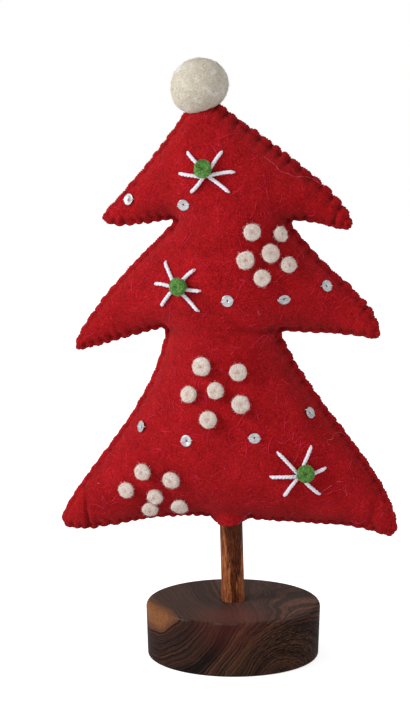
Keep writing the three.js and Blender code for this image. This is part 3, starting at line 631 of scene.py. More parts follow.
COLLAR_SIDES, COLLAR_LEVELS = (0.0105, 0.0075), (0.051, 0.047)
scallop, crease, hole = edge_form(nearest, away)
in_collar = step(*COLLAR_SIDES, np.abs(flat_x)) * step(*COLLAR_LEVELS, flat_z)
form = swell + FELT_THICKNESS * (0.85 + 0.1 * step(0.001, 0.004, away))
between = 0.5 - 0.5 * np.cos(2 * math.pi * phase[nearest])
ridge = np.exp(-((away - CREASE_START) ** 2) / RIDGE_WIDTH**2)
ridge = between * crease_depth[nearest] * ridge
form += 0.9 * ridge - 1.1 * crease * step(0, 0.0012, away) - HOLE_DEPTH * hole
slope = np.hypot(*np.gradient(swell, CELL))
stretch = np.clip(np.hypot(1, slope), 1, 1.7)
rounding = np.maximum(risen(away), in_collar)
# painted shade: a mask of where the felt is painted darker, in the creases and stitch holes, along
# the folds and under the sequins' holes
dent = np.clip(crease / 0.001 + 0.55 * hole, 0, 1)
moved = scallop * swing(away)
shifted_x = flat_x + outward[nearest][..., 0] * moved
shifted_z = flat_z + outward[nearest][..., 1] * moved

# the ornaments of the front, each at a share of its tier's width and rise
FLOWER_RADIUS, STAR_RADIUS = 0.0134, 0.0135
FLOWERS = {
    "upper_flower": (
        "middle", 0.162, 0.736, ((128, 1.03), (69, 0.70), (-170, 0.85), (-38, 0.75), (-108, 0.88))
    ),
    "middle_flower": (
        "bottom", -0.009, 0.734, ((120, 0.98), (40, 1.00), (-168, 1.00), (-32, 1.00), (-105, 1.11))
    ),
    "lower_flower": (
        "bottom", -0.2044, 0.164, ((113, 0.98), (44, 0.97), (171, 1.09), (-119, 0.6), (-23, 0.93))
    ),
}
STARS = {
    "top_star": ("top", -0.042, 0.420, (0.00, 0.24), (
        (177, 1.01, -5), (129, 1.09, 5), (53, 1.06, 3), (4, 1.10, 3), (-36, 1.11, -2),
        (-130, 0.85, -1),
    )),
    "middle_star": ("middle", -0.136, 0.453, (0.26, 0.05), (
        (174.5, 0.85, -1), (114, 1.01, 1), (41, 1.02, 3), (-7, 0.98, 3), (-45.5, 1.25, -1),
        (-128.5, 0.96, -1),
    )),
    "lower_star": ("bottom", 0.219, 0.267, (0.23, 0.19), (
        (179, 1.08, 1), (128.5, 1.24, 2), (68, 1.22, 0), (16, 1.02, 6), (-44.5, 1.05, -2),
        (-128, 0.98, 1),
    )),
}
SEQUINS = (  # place, and how far it is turned to its left and tipped down
    ("top", -0.361, 0.201, 0.15, 0), ("top", -0.130, 0.174, -0.3, 0.1),
    ("middle", 0.031, 0.334, 0, 0), ("middle", 0.204, 0.342, 0, 0.35),
    ("middle", 0.333, 0.421, -0.2, 0), ("bottom", -0.242, 0.517, 0.35, 0),
    ("bottom", -0.103, 0.463, 0, 0.1), ("bottom", 0.096, 0.483, 0, 0.2),
    ("bottom", 0.246, 0.585, -0.3, 0),
)


def spot_of(tier, across, up):
    tier = TIERS[tier]
    return Vector((across * tier["width"], tier["level"] + up * tier["rise"]))


def ray_of(angle, length):
    angle = math.radians(angle)
    return Vector((math.cos(angle), math.sin(angle))) * length


dots = {
    name: [spot_of(*at)] + [spot_of(*at) + ray_of(a, share * FLOWER_RADIUS) for a, share in petals]
    for name, (*at, petals) in FLOWERS.items()
}
hubs = {name: spot_of(*at) for name, (*at, _, _) in STARS.items()}
ray_ends = {
    name: [hubs[name] + ray_of(a, share * STAR_RADIUS) for a, share, _ in rays]
    for name, (*_, rays) in STARS.items()
}
sequin_spots = [spot_of(*at) for *at, _, _ in SEQUINS]
DOT_PRESS = (0.0005, 0.0052)  # depth and reach of the hollow that it presses
HUB_PRESS = (0.0007, 0.0030)
STITCH_END_PRESS = (0.0006, 0.0011)
SEQUIN_PRESS = (0.0005, 0.0022)
pressed = [(spot, *DOT_PRESS) for group in dots.values() for spot in group]
pressed += [(spot, *HUB_PRESS) for spot in hubs.values()]
pressed += [(spot, *STITCH_END_PRESS) for group in ray_ends.values() for spot in group]
pressed += [(spot, *SEQUIN_PRESS) for spot in sequin_spots]
presses = sum(
    depth * np.exp(-((flat_x - spot.x) ** 2 + (flat_z - spot.y) ** 2) / reach**2)
    for spot, depth, reach in pressed
)
CREASES = (  # from, to, depth and width of the folds that the stitching drew
    ((-0.0722, 0.0385), (-0.0727, 0.0620), 0.0021, 0.0010),
    ((-0.0668, 0.0385), (-0.0680, 0.0520), 0.0006, 0.0010),
    ((0.0548, 0.1905), (0.0592, 0.2035), 0.0017, 0.0010),
    ((0.0700, 0.0410), (0.0745, 0.0590), 0.0016, 0.0015),
    ((0.0322, 0.1928), (0.0306, 0.1940), 0.0032, 0.0010),
    ((0.0312, 0.1935), (0.0270, 0.2000), 0.0012, 0.0016),
    ((0.0362, 0.1950), (0.0362, 0.1958), 0.0026, 0.0008),
    ((0.0405, 0.1935), (0.0400, 0.1943), 0.0022, 0.0008),
    ((0.0238, 0.1392), (0.0262, 0.1404), 0.0020, 0.0009),
    ((-0.0215, 0.1935), (-0.0140, 0.1950), 0.0011, 0.0012),
    ((0.0280, 0.1385), (0.0225, 0.1395), 0.0015, 0.0014),
    ((0.0270, 0.1390), (-0.0020, 0.1412), 0.0022, 0.0024),
    ((-0.0270, 0.1385), (-0.0020, 0.1412), 0.0020, 0.0024),
    ((-0.0270, 0.1385), (-0.0200, 0.1450), 0.0008, 0.0012),
    ((0.0090, 0.0430), (0.0150, 0.0500), 0.0012, 0.0015),
    ((-0.0120, 0.0440), (-0.0180, 0.0490), 0.0010, 0.0015),
)
for start, end, depth, width in CREASES:
    run = np.array(end) - start
    way = ((flat_x - start[0]) * run[0] + (flat_z - start[1]) * run[1]) / (run @ run)
    fading = np.clip(1.15 - way, 0.15, 1)
    way = np.clip(way, 0, 1)
    off = np.hypot(flat_x - start[0] - way * run[0], flat_z - start[1] - way * run[1])
    fold = depth * fading * np.exp(-((off / width) ** 2)) * step(0, 0.002, away)
    presses = presses + fold
    dent = np.clip(dent + fold / 0.003, 0, 1)
SHADE_IN_HOLE = 0.0009
for spot in sequin_spots:
    off = (flat_x - spot.x) ** 2 + (flat_z - spot.y) ** 2
    dent += 1.8 * np.exp(-off / SHADE_IN_HOLE**2)


def is_inside(spot):
    row = min(rows, max(0, round((spot.y - low[1]) / CELL)))
    column = min(columns, max(0, round((spot.x - low[0]) / CELL)))
    return used[row, column]


LUMP_SIZE, LUMP_HEIGHT, GRAIN_HEIGHT = 0.022, 0.0011, 0.00022
THINNEST = 0.0003


def felt(name, node, side, seed, presses):
    """One felt: a sheet cut to the outline, stitched at the rim and pressed out by the fill."""
    lumps = np.zeros(form.shape)
    for row, column in zip(*np.nonzero(used)):
        spot = Vector((xs[column], zs[row], seed)) / LUMP_SIZE
        soft = 0.7 * noise.noise(spot) + 0.35 * noise.noise(spot * 2.7)
        fine = 0.5 * noise.noise(spot * 9) + 0.4 * noise.noise(spot * 19)
        inner_part = min(1, max(0, (away[row, column] - 0.004) / 0.01))
        lumps[row, column] = LUMP_HEIGHT * soft * inner_part + GRAIN_HEIGHT * fine
    full = form + lumps - presses
    inner = np.maximum(SEAM_GAP, full - FELT_THICKNESS * stretch)
    inner[(away < HOLE_LINE) & (in_collar < 0.5)] = SEAM_GAP
    outer = np.maximum(inner + THINNEST, SEAM_GAP + (full - SEAM_GAP) * rounding)

    bm = bmesh.new()
    size = Matrix.Diagonal((columns * CELL, rows * CELL, 1, 1))
    middle = Matrix.Translation((low[0] + columns * CELL / 2, low[1] + rows * CELL / 2, 0))
    bmesh.ops.create_grid(bm, x_segments=columns, y_segments=rows, size=0.5, matrix=middle @ size)
    depths = bm.verts.layers.float_vector.new("depths")
    dent_shade_layer = bm.verts.layers.float.new("dent")
    off_cut = []
    for v in bm.verts:
        at = round((v.co.y - low[1]) / CELL), round((v.co.x - low[0]) / CELL)
        if not used[at]:
            off_cut.append(v)
            continue
        v.co = shifted_x[at], shifted_z[at], 0
        v[depths] = outer[at], inner[at], 0
        v[dent_shade_layer] = dent[at]
    bmesh.ops.delete(bm, geom=off_cut, context="VERTS")
    outside = [
        f for f in bm.faces
        if f.calc_area() < 0.02 * CELL**2 or all(v[depths].x < 2 * THINNEST for v in f.verts)
        and not is_inside(f.calc_center_median())
    ]
    bmesh.ops.delete(bm, geom=outside, context="FACES")
    bmesh.ops.delete(bm, geom=[v for v in bm.verts if not v.link_faces], context="VERTS")
    sheet = bmesh.ops.extrude_face_region(bm, geom=bm.faces[:])
    front = {v for v in sheet["geom"] if isinstance(v, bmesh.types.BMVert)}
    for v in bm.verts:
        depth = v[depths].x if v in front else v[depths].y
        v.co = tree_frame @ Vector((v.co.x, side * depth, v.co.y))
    bmesh.ops.recalc_face_normals(bm, faces=bm.faces)
    piece = made(name, bm, felt_red, "red_felt", node)
    return piece, inner


felt_red, place = new_material("red_felt", 0.95, Specular_IOR_Level=0.07, Sheen_Weight=0.03)
curled = bend(place, (110, 0.016))
fibres = None
for angle in (0.3, 1.3, 2.4):
    laid = curled.node("ShaderNodeMapping", None, {"Vector": curled, "Rotation": (0, angle, 0)})
    laid = laid.vector("MULTIPLY", (420, 1400, 2400)).grain(1, 3, 0.6)
    fibres = laid if fibres is None else fibres.math("MAXIMUM", laid)
flecks = place.grain(1500, 4, 0.65, 0.6)
clouds = place.grain(70, 4, 0.6)
painted_dent_shade = place.node("ShaderNodeAttribute", {"attribute_name": "dent"}, output="Fac")
tone = fibres * 0.45 + flecks * 0.42 + clouds * 0.15
red = tone.ramp(
    (0.44, (0.155, 0.0020, 0.0030)),
    (0.53, (0.378, 0.0056, 0.0086)),
    (0.60, (0.525, 0.0095, 0.0145)),
    (0.69, (0.760, 0.0380, 0.0540)),
)
# painted shade: the felt is painted dark red in its creases, stitch holes, folds and sequin holes
red = (painted_dent_shade * 0.5).mix(red, (0.13, 0.002, 0.004))
wear(felt_red, red, fibres * 0.8 + flecks, 0.0006)
front_felt, front_room = felt(
    "front_felt_sheet", "front_felt", side=-1, seed=3.1, presses=presses,
)
back_felt, back_room = felt("back_felt_sheet", "back_felt", side=1, seed=8.4, presses=0)


# Stuffing: loose white fibre, packed hard between the felts and round the trunk, where
# nothing of it shows.
FILL_CLEAR, FILL_LEAST = 0.0003, 0.00003
bm = from_solid("stuffing")
bmesh.ops.subdivide_edges(bm, edges=bm.edges[:], cuts=2, use_grid_fill=True)
to_flat = tree_frame.inverted()
for v in bm.verts:
    spot = to_flat @ v.co
    column = min(max((spot.x - low[0]) / CELL, 1), columns - 1)
    row = min(max((spot.z - low[1]) / CELL, 1), rows - 1)
    corner = slice(int(row), int(row) + 2), slice(int(column), int(column) + 2)
    room = (front_room if spot.y < 0 else back_room)[corner].min() - FILL_CLEAR
    spot.y = math.copysign(min(abs(spot.y), max(room, FILL_LEAST)), spot.y)
    v.co = tree_frame @ spot


def two_toned(name, roughness, grain, dark, light, relief, **settings):
    """Fibre that goes from one tone to another with its grain, which stands out in relief."""
    material, place = new_material(name, roughness, **settings)
    fibre = place.grain(*grain)
    wear(material, fibre.ramp(dark, light), fibre, relief)
    return material


fibre_fill = two_toned(
    "fibre_fill", 1.0, (400, 5, 0.6, 2), (0.3, (0.78, 0.76, 0.72)), (0.7, (0.9, 0.89, 0.86)),
    relief=0.0005,
)
made("fibre_stuffing", bm, fibre_fill, "stuffing", "stuffing")


# Top ball: a big ball of flecked grey-beige wool, felted a little lopsided and drawn out at
# its lower left, sewn down on the apex, whose shape its underside takes.
BALL = Vector((0.0142, 0.0141, 0.0134))
BALL_CLEAR, BALL_ASIDE = 0.0004, 0.0003
DRAWN_OUT = (0.13, (-0.60, -0.30, -0.74)), (-0.06, (0.74, -0.20, -0.64))  # share, direction
skin_faces, skin_places = [], []
for piece in (front_felt, back_felt):
    skin_faces += [[i + len(skin_places) for i in p.vertices] for p in piece.data.polygons]
    skin_places += [v.co for v in piece.data.vertices]
skin = BVHTree.FromPolygons(skin_places, skin_faces)
near_corner, far_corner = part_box("top_ball")
ball_middle = (near_corner + far_corner) / 2
ball_middle.z = far_corner.z - BALL.z - BALL_CLEAR
ball_middle.x += BALL_ASIDE
bm = bmesh.new()
bmesh.ops.create_icosphere(bm, subdivisions=6, radius=1)
for v in bm.verts:
    way = v.co.normalized()
    lumps = 0.030 * noise.noise(way * 1.5) + 0.012 * noise.noise(way * 5)
    lumps += 0.004 * noise.noise(way * 21)
    drawn = sum(share * max(0, way.dot(Vector(corner))) ** 5 for share, corner in DRAWN_OUT)
    reach = way * BALL * (1 + lumps + drawn)
    hit, _, _, clear = skin.ray_cast(ball_middle, reach.normalized(), reach.length + BALL_CLEAR)
    if hit:
        reach *= max(0.1, (clear - BALL_CLEAR) / reach.length)
    v.co = ball_middle + reach
ball_wool, place = new_material("flecked_wool", 0.95, Specular_IOR_Level=0.15, Sheen_Weight=0.1)
wool = place.grain(850, 6, 0.7, 1.8)
dark_hairs = place.grain(420, 5, 0.75, 3.2)
ball_color = wool.ramp(
    (0.36, (0.50, 0.43, 0.34)), (0.50, (0.71, 0.66, 0.555)), (0.66, (0.87, 0.84, 0.755))
)
tufts = place.grain(95, 3, 0.5, 1)
darker = ball_color.vector("MULTIPLY", (0.90, 0.88, 0.84))
ball_color = tufts.between(0.42, 0.60).mix(darker, ball_color)
ball_color = (tufts.between(0.54, 0.62) * 0.5).mix(ball_color, (0.86, 0.84, 0.78))
ball_color = (dark_hairs.between(0.58, 0.72) * 0.8).mix(ball_color, (0.30, 0.22, 0.16))
wear(ball_wool, ball_color, wool + dark_hairs * 0.3, 0.00045)
made("flecked_ball", bm, ball_wool, "top_ball_wool", "top_ball")


# Yarn stars: six long stitches of soft two-ply yarn to a star. Each comes up under the green
# ball, lies over the felt and goes down into it at its end.
def way_at(line, k):
    """The direction of a line of places at one of them."""
    return (line[min(k + 1, len(line) - 1)] - line[max(k - 1, 0)]).normalized()


def tube(bm, line, radii, sides):
    """A closed tube round a line of places, with a radius at each."""
    rings, across = [], None
    for k, spot in enumerate(line):
        way = way_at(line, k)
        across = way.orthogonal() if across is None else across - way * across.dot(way)
        across.normalize()
        other = way.cross(across)
        turns = [2 * math.pi * i / sides for i in range(sides)]
        rings.append([
            bm.verts.new(spot + (across * math.cos(a) + other * math.sin(a)) * radii[k])
            for a in turns
        ])
    for near, far in zip(rings, rings[1:]):
        for i in range(sides):
            bm.faces.new((near[i], near[i - 1], far[i - 1], far[i]))
    bm.faces.new(rings[0])
    bm.faces.new(rings[-1][::-1])


def on_skin(x, z):
    """The place and normal of the front felt behind a flat spot."""
    start = tree_frame @ Vector((x, -0.1, z))
    hit, normal, _, _ = skin.ray_cast(start, Vector((0, 1, 0)), 0.1)
    if hit is None:
        hit, normal, _, _ = skin.find_nearest(tree_frame @ Vector((x, -0.001, z)))
    return hit, normal if normal.y < 0 else -normal


YARN_RADIUS = 0.00098
PLY_RADIUS = 0.00070
YARN_TWIST = 0.0036
YARN_SWAY = 0.0005
STITCH_STEPS, TAPER_STEPS = 46, 7
START_DIP, START_RUN = 0.0002, 0.003
END_DIP, END_RUN = 0.0018, 0.0024
random.seed(5)
star_yarn = two_toned(
    "white_yarn", 0.9, (2600, 4, 0.6, 1), (0.3, (0.76, 0.72, 0.83)), (0.6, (0.93, 0.91, 0.99)),
    relief=0.0002, Specular_IOR_Level=0.2, Sheen_Weight=0.2,
)
for name, ends_of_rays in ray_ends.items():
    bm = bmesh.new()
    for end, (_, _, turn) in zip(ends_of_rays, STARS[name][-1]):
        run = end - hubs[name]
        run.rotate(Matrix.Rotation(math.radians(turn), 2))
        aside = Vector((-run.y, run.x)).normalized() * random.uniform(-YARN_SWAY, YARN_SWAY)
        line, normals = [], []
        for k in range(STITCH_STEPS + 1):
            way = k / STITCH_STEPS
            flat_spot = end - run * 0.9 * (1 - way) + aside * math.sin(math.pi * way)
            spot, normal = on_skin(flat_spot.x, flat_spot.y)
            left = (1 - way) * run.length
            lift = YARN_RADIUS * 1.05 - END_DIP * max(0, 1 - left / END_RUN) ** 2
            lift -= START_DIP * max(0, 1 - way * run.length / START_RUN)
            line.append(spot + normal * lift)
            normals.append(normal)
        for ply in (0, math.pi):
            wound, radii = [], []
            for k, (spot, normal) in enumerate(zip(line, normals)):
                other = way_at(line, k).cross(normal).normalized()
                angle = ply + 2 * math.pi * k / STITCH_STEPS * run.length / YARN_TWIST
                part = min(1, (STITCH_STEPS - k) / TAPER_STEPS)
                width = (YARN_RADIUS - PLY_RADIUS) * (0.5 + 0.5 * part)
                wound.append(spot + (normal * math.sin(angle) + other * math.cos(angle)) * width)
                radii.append(PLY_RADIUS * (0.40 + 0.60 * part))
            tube(bm, wound, radii, 8)
    made(name + "_stitches", bm, star_yarn, "white_yarn", name + "_yarn")


# Small felt balls: cream dots in flowers of six and a green one on each star. Each is flattened
# on the felt and needled down in its middle, which leaves a dimple.
DOT_RADIUS, DOT_HEIGHT = 0.0046, 0.0046
DOT_SIZES = {
    "upper_flower": (0.99, 0.93, 0.82, 0.97, 0.88, 0.89),
    "middle_flower": (0.92, 1.03, 0.95, 0.91, 0.98, 0.95),
    "lower_flower": (0.89, 0.93, 0.97, 0.89, 0.90, 0.93),
}
BEAD_RADIUS, BEAD_HEIGHT = 0.0046, 0.0060
DIMPLE_REACH, DIMPLE_DEPTH = 0.18, 0.12
PROBE = 0.008
SEAT_CLEAR, SEAT_MISSED = 0.00012, -0.001


def felt_ball(bm, flat_spot, radius, height, seed, seat):
    """A small ball whose underside follows whatever lies under it."""
    tint = bm.verts.layers.float.get("core") or bm.verts.layers.float.new("core")
    place, normal = on_skin(flat_spot.x, flat_spot.y)
    seed = Vector((7.3, 2.9, 0.7)) * seed
    first = normal.cross(Vector((0, 0, 1))).normalized()
    second = normal.cross(first)
    ball = bmesh.ops.create_uvsphere(bm, u_segments=32, v_segments=18, radius=1)
    for v in ball["verts"]:
        way = v.co.normalized()
        spot = way + seed
        lumps = 1 + 0.07 * noise.noise(spot * 1.3) + 0.05 * noise.noise(spot * 3.5)
        out = way.xy.length
        up = 1 - (0.5 - 0.5 * way.z) ** 1.5
        reach = radius * out**0.85 * lumps * (0.93 + 0.07 * up)
        core = math.exp(-((reach / (DIMPLE_REACH * radius)) ** 2)) * step(0.6, 0.9, up)
        lift = height * (up * lumps - DIMPLE_DEPTH * core)
        side = first * (way.x / max(out, 1e-6)) + second * (way.y / max(out, 1e-6))
        spot = place + side * reach
        hit, _, _, fall = skin.ray_cast(spot + normal * PROBE, -normal, 2 * PROBE)
        fall = PROBE - fall if hit else SEAT_MISSED
        if seat is not None:
            hit, _, _, over = seat.ray_cast(spot + normal * PROBE, -normal, 2 * PROBE)
            if hit:
                fall += max(0, PROBE - over - fall) * (1 - up) ** 0.5
        v.co = spot + normal * (lift + fall * (1 - 0.35 * up) + SEAT_CLEAR)
        v[tint] = core


def felted(name, scale, dark, middle, light, core_color):
    """Felted wool of three tones, darker in its dimple and in patches."""
    material, place = new_material(name, 0.95, Specular_IOR_Level=0.15, Sheen_Weight=0.12)
    wool = place.grain(scale, 5, 0.8, 1.6)
    core = place.node("ShaderNodeAttribute", {"attribute_name": "core"}, output="Fac")
    patches = place.grain(330, 3, 0.6, 1).between(0.54, 0.66) * wool.between(0.55, 0.42) * 0.7
    color = wool.ramp((0.41, dark), (0.5, middle), (0.58, light))
    color = (core.math("MAXIMUM", patches) * 0.8).mix(color, core_color)
    wear(material, color, wool, 0.9 / scale)
    return material


cream_wool = felted(
    "cream_wool", 1300, dark=(0.63, 0.46, 0.38), middle=(0.86, 0.74, 0.66),
    light=(1.0, 0.95, 0.89), core_color=(0.40, 0.19, 0.09),
)
green_wool = felted(
    "green_wool", 800, dark=(0.026, 0.105, 0.014), middle=(0.095, 0.29, 0.043),
    light=(0.24, 0.50, 0.110), core_color=(0.015, 0.065, 0.008),
)
for name, spots in dots.items():
    bm = bmesh.new()
    for k, spot in enumerate(spots):
        felt_ball(bm, spot, DOT_RADIUS * DOT_SIZES[name][k], DOT_HEIGHT, k + ord(name[0]), None)
    made(name + "_dots", bm, cream_wool, "cream_wool", *(f"{name}_dot_{k}" for k in range(1, 7)))
for name, (*_, shift, _) in STARS.items():
    yarn = bpy.data.objects[name + "_stitches"].data
    seat = BVHTree.FromPolygons([v.co for v in yarn.vertices], [p.vertices for p in yarn.polygons])
    bm = bmesh.new()
    spot = hubs[name] + Vector(shift) * STAR_RADIUS
    felt_ball(bm, spot, BEAD_RADIUS, BEAD_HEIGHT, 3, seat)
    made(name + "_bead", bm, green_wool, "green_wool", name + "_ball")


# Sequins: thin silvered cups with a hole. A white thread comes up through the hole and holds
# each one down on both sides, over its rim.
SEQUIN_CUP, SEQUIN_WALL, SEQUIN_CLEAR = 0.00040, 0.00012, 0.00015
SEQUIN_CURVE = (0.00048, 0), (0.0012, 0.00005), (0.0022, 0.00025), (0.0029, SEQUIN_CUP)
SEQUIN_PROBE, PROBE_HEIGHT = 0.003, 0.004
SEQUIN_THREAD_RADIUS = 0.00014
SEQUIN_THREAD = (  # how far from the middle of the hole, and how high
    (0.0004, -0.0010), (0.00045, 0.0001), (0.0008, 0.00032), (0.0014, 0.00042),
    (0.0021, 0.00056), (0.0028, 0.00072), (0.0031, 0.00058), (0.0031, -0.0006),
)
silver, place = new_material("silvered_film", 0.35, Metallic=0.6)
grooves = place.grain(3000, 2, 0.5)
film_color = place.grain(520, 3).ramp((0.35, (0.31, 0.31, 0.32)), (0.65, (0.52, 0.51, 0.52)))
wear(silver, film_color, grooves, 0.00002, grooves * 0.2 + 0.2)
sequin_bm, thread_bm = bmesh.new(), bmesh.new()
for spot, (*_, to_left, down) in zip(sequin_spots, SEQUINS):
    place, normal = on_skin(spot.x, spot.y)
    normal = (normal + Vector((-to_left, 0, -down))).normalized()
    first = normal.cross(Vector((0, 0, 1))).normalized()
    turned = Matrix((first, normal.cross(first), normal)).transposed().to_4x4()
    rise = 0
    for a in np.linspace(0, 2 * math.pi, 12, endpoint=False):
        beside = turned.to_3x3() @ Vector((math.cos(a), math.sin(a), 0)) * SEQUIN_PROBE
        above = place + beside + normal * PROBE_HEIGHT
        hit, _, _, _ = skin.ray_cast(above, -normal, 2 * PROBE_HEIGHT)
        rise = max(rise, (hit - place).dot(normal)) if hit else rise
    seat = Matrix.Translation(place + normal * (max(rise - SEQUIN_CUP, 0) + SEQUIN_CLEAR)) @ turned
    part = bmesh.new()
    ring = [part.verts.new((r, 0, h)) for r, h in SEQUIN_CURVE]
    ring += [part.verts.new((r, 0, h + SEQUIN_WALL)) for r, h in SEQUIN_CURVE[::-1]]
    for near, far in zip(ring[-1:] + ring, ring):
        part.edges.new((near, far))
    lathe(part, 40)
    bmesh.ops.transform(part, matrix=seat, verts=part.verts)
    loose = bpy.data.meshes.new("sequin")
    part.to_mesh(loose)
    part.free()
    sequin_bm.from_mesh(loose)
    angle = math.radians(random.uniform(170, 195))
    out = tree_frame.to_3x3() @ Vector((math.cos(angle), 0, math.sin(angle)))
    out = (out - normal * out.dot(normal)).normalized()
    for way in (out, -out):
        stitch = [seat.translation + way * r + normal * h for r, h in SEQUIN_THREAD]
        tube(thread_bm, stitch, [SEQUIN_THREAD_RADIUS] * len(stitch), 6)
made("silver_sequins", sequin_bm, silver, "sequin", *(f"sequin_{k}" for k in range(1, 10)))
made("sequin_threads", thread_bm, star_yarn, "white_yarn")


# Overcast thread: one red thread that goes round the cut edge in a loop at every stitch, from
# its hole in the front felt to the one behind.
OVERCAST_RADIUS = 0.00023
STITCH_DEPTHS = (0.0034, 0.0026, 0.0018, 0.0010, 0.0004, 0.0)
OVERCAST_CLEAR, SUNK_IN_HOLE, ROUND_THE_EDGE = 0.00012, 0.0004, 0.00018
thread_red = two_toned(
    "red_thread", 0.8, (3000, 3, 0.6), (0.3, (0.22, 0.003, 0.006)), (0.7, (0.42, 0.010, 0.016)),
    relief=0.0001, Specular_IOR_Level=0.25,
)
bm = bmesh.new()
for stitch in range(1, round(phase[-1])):
    index = int(np.argmin(np.abs(phase - stitch)))
    loop = []
    for side in (-1, 1):
        half = []
        for depth in STITCH_DEPTHS:
            scallop, crease, hole = (float(n) for n in edge_form(np.array(index), np.array(depth)))
            x, z = rim[index] - outward[index] * (depth - scallop * swing(depth))
            height = 0.9 * FELT_THICKNESS - 1.1 * crease - 0.0004 * hole
            height = SEAM_GAP + (height - SEAM_GAP) * risen(depth)
            height += OVERCAST_CLEAR if depth < STITCH_DEPTHS[0] else -SUNK_IN_HOLE
            x, z = (x, z) + outward[index] * ROUND_THE_EDGE * (1 - risen(depth))
            half.append(tree_frame @ Vector((x, side * height, z)))
        loop += half if side < 0 else half[::-1][1:]
    tube(bm, loop, [OVERCAST_RADIUS] * len(loop), 6)
made("overcast_thread", bm, thread_red, "red_felt")


# Loose wool: stray hairs that stand off the rim, lie curled over the front and the back, and
# make the balls and dots look soft.
HAIR_STEPS = 4
RIM_HAIRS, RIM_HAIR_RADIUS = 420, 0.000045
RIM_SPREAD, ROOTED = 0.0016, 0.0008
LAID_HAIRS, LAID_HAIR_RADII = 1600, (0.00004, 0.00006, 0.00009)
SHORT, LONG = (0.002, 0.007), (0.007, 0.014)
LAID_CLEAR, LAID_ARCH = 0.00010, 0.00025
NEAR_RIM = 0.0045


def hair(bm, start, way, normal, length, curl, radius):
    """One free hair that starts at a place and turns about a normal as it goes."""
    line, spot = [], start
    for _ in range(HAIR_STEPS + 1):
        line.append(spot)
        spot = spot + way * (length / HAIR_STEPS)
        turned = Matrix.Rotation(curl * random.uniform(0.4, 1.6) / HAIR_STEPS, 3, normal)
        way = (turned @ way).normalized()
    tube(bm, line, [radius] * len(line), 3)


def any_way():
    return Vector([random.gauss(0, 1) for _ in range(3)]).normalized()


loose_red = two_toned(
    "loose_red_wool", 1, (150, 2), (0.42, (0.62, 0.012, 0.040)), (0.60, (0.96, 0.050, 0.120)),
    relief=0.00001, Specular_IOR_Level=0,
)
bm = bmesh.new()
for _ in range(RIM_HAIRS):
    index = random.randrange(40, len(rim) - 40)
    out = Vector((outward[index][0], 0, outward[index][1]))
    way = (tree_frame.to_3x3() @ out + any_way() * 0.9).normalized()
    y = random.uniform(-1, 1) * RIM_SPREAD
    start = tree_frame @ Vector((rim[index][0], y, rim[index][1])) - out * ROOTED
    length = random.uniform(0.0008, 0.0022)
    hair(bm, start, way, any_way(), length, random.uniform(-2, 2), RIM_HAIR_RADIUS)
for _ in range(LAID_HAIRS):
    piece = front_felt if random.random() < 0.6 else back_felt
    polygon = random.choice(piece.data.polygons)
    if abs(polygon.center.y) < NEAR_RIM:
        continue
    side = math.copysign(1, polygon.center.y)
    outside = Vector((polygon.center.x, 0.1 * side, polygon.center.z))
    start, normal, _, _ = skin.ray_cast(outside, Vector((0, -side, 0)))
    if start is None:
        continue
    length = random.uniform(*(SHORT if random.random() < 0.7 else LONG))
    way, line, spot, curl = any_way(), [], start, random.uniform(-0.45, 0.45)
    for k in range(11):
        spot, normal, _, _ = skin.find_nearest(spot + way * (length / 10))
        way = (way - normal * way.dot(normal)).normalized()
        way = Matrix.Rotation(curl * random.uniform(-0.3, 1.7), 3, normal) @ way
        line.append(spot + normal * (LAID_CLEAR + LAID_ARCH * math.sin(math.pi * k / 10)))
    tube(bm, line, [random.choice(LAID_HAIR_RADII)] * len(line), 3)
made("loose_red_hairs", bm, loose_red, "red_felt")
pale_hair = two_toned(
    "pale_hair", 0.9, (300, 2), (0.42, (0.75, 0.10, 0.15)), (0.60, (0.95, 0.34, 0.38)),
    relief=0.00001, Specular_IOR_Level=0.2,
)
PALE_STRAYS = 12  # the first of the strays are pale, the others red
STRAY_CLEAR = 0.0002
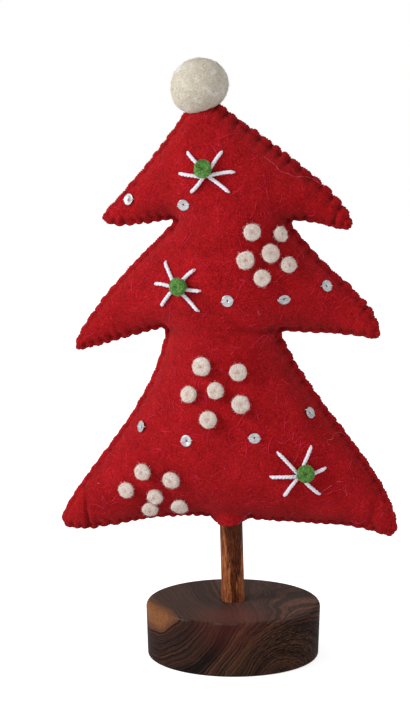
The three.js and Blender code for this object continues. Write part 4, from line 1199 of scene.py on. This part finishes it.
STRAYS = (  # thickness, then the flat spots that the longest hairs pass
    (0.00005, (0.0228, 0.2244), (0.0284, 0.2202), (0.0298, 0.2176), (0.0341, 0.2161),
     (0.0373, 0.2140), (0.0410, 0.2143), (0.0473, 0.2119), (0.0496, 0.2091)),
    (0.000045, (0.0592, 0.0836), (0.0581, 0.0858), (0.0550, 0.0870), (0.0538, 0.0869),
     (0.0529, 0.0844), (0.0504, 0.0848), (0.0507, 0.0834), (0.0517, 0.0818)),
    (0.00005, (0.0551, 0.0639), (0.0561, 0.0644), (0.0580, 0.0639)),
    (0.00005, (0.0590, 0.0623), (0.0594, 0.0594), (0.0599, 0.0565)),
    (0.00005, (0.0529, 0.0627), (0.0507, 0.0611), (0.0480, 0.0595)),
    (0.00007, (-0.0119, 0.2000), (-0.0113, 0.2015)),
    (0.00006, (-0.0107, 0.2029), (-0.0098, 0.2044)),
    (0.00005, (0.0202, 0.1511), (0.0191, 0.1502), (0.0192, 0.1493), (0.0204, 0.1484)),
    (0.00010, (0.0008, 0.1944), (0.0013, 0.1942)),
    (0.00009, (-0.0189, 0.2080), (-0.0183, 0.2078)),
    (0.00010, (-0.0657, 0.0618), (-0.0649, 0.0616)),
    (0.00005, (0.0033, 0.0394), (0.0061, 0.0429), (0.0079, 0.0443), (0.0111, 0.0475)),
    (0.00011, (0.0148, 0.1317), (0.0159, 0.1334), (0.0185, 0.1359), (0.0210, 0.1376),
     (0.0225, 0.1370), (0.0242, 0.1339), (0.0252, 0.1318), (0.0267, 0.1296)),
    (0.00011, (0.0164, 0.1409), (0.0185, 0.1421), (0.0210, 0.1419), (0.0237, 0.1418),
     (0.0261, 0.1405), (0.0274, 0.1375)),
    (0.00008, (0.0473, 0.0846), (0.0492, 0.0818), (0.0502, 0.0802)),
    (0.00007, (-0.0424, 0.1937), (-0.0381, 0.1945), (-0.0334, 0.1941), (-0.0264, 0.1982)),
    (0.00008, (-0.0040, 0.1970), (-0.0006, 0.1933), (0.0031, 0.1892)),
)
pale_bm, red_bm = bmesh.new(), bmesh.new()
for k, (thickness, *spots) in enumerate(STRAYS):
    spots = even_out(np.repeat(np.array(spots), 4, axis=0), 2)[1:-1]
    line = []
    for x, z in spots:
        spot, normal = on_skin(x, z)
        line.append(spot + normal * (thickness + STRAY_CLEAR))
    tube(pale_bm if k < PALE_STRAYS else red_bm, line, [thickness] * len(line), 4)
made("pale_stray_hairs", pale_bm, pale_hair, "red_felt")
made("red_stray_hairs", red_bm, loose_red, "red_felt")


DOWN_RADIUS, DOWN_ROOTED = 0.000035, 0.0001


def downy(name, material, slot, ball, count, length):
    """Short hairs all over a ball."""
    bm = bmesh.new()
    for polygon in random.sample(list(bpy.data.objects[ball].data.polygons), count):
        way = (polygon.normal + any_way() * 0.8).normalized()
        start = polygon.center - polygon.normal * DOWN_ROOTED
        normal, long = any_way(), random.uniform(0.3, 1) * length
        hair(bm, start, way, normal, long, random.uniform(-4, 4), DOWN_RADIUS)
    made(name, bm, material, slot)


# painted light: the down on the dots glows a little, standing in for light shining through the
# fine hairs
glowing_down_wool = two_toned(
    "glowing_wool_down", 0.9, (300, 2), (0.42, (0.80, 0.55, 0.50)), (0.60, (0.95, 0.84, 0.79)),
    relief=0.00001, Emission_Strength=0.22, Emission_Color=(0.9, 0.62, 0.57, 1),
)
downy("ball_down", ball_wool, "top_ball_wool", "flecked_ball", count=1300, length=0.0012)
for name in dots:
    downy(name + "_down", glowing_down_wool, "cream_wool", name + "_dots", count=1500, length=0.0015)
for name in STARS:
    downy(name + "_down", green_wool, "green_wool", name + "_bead", count=110, length=0.0010)
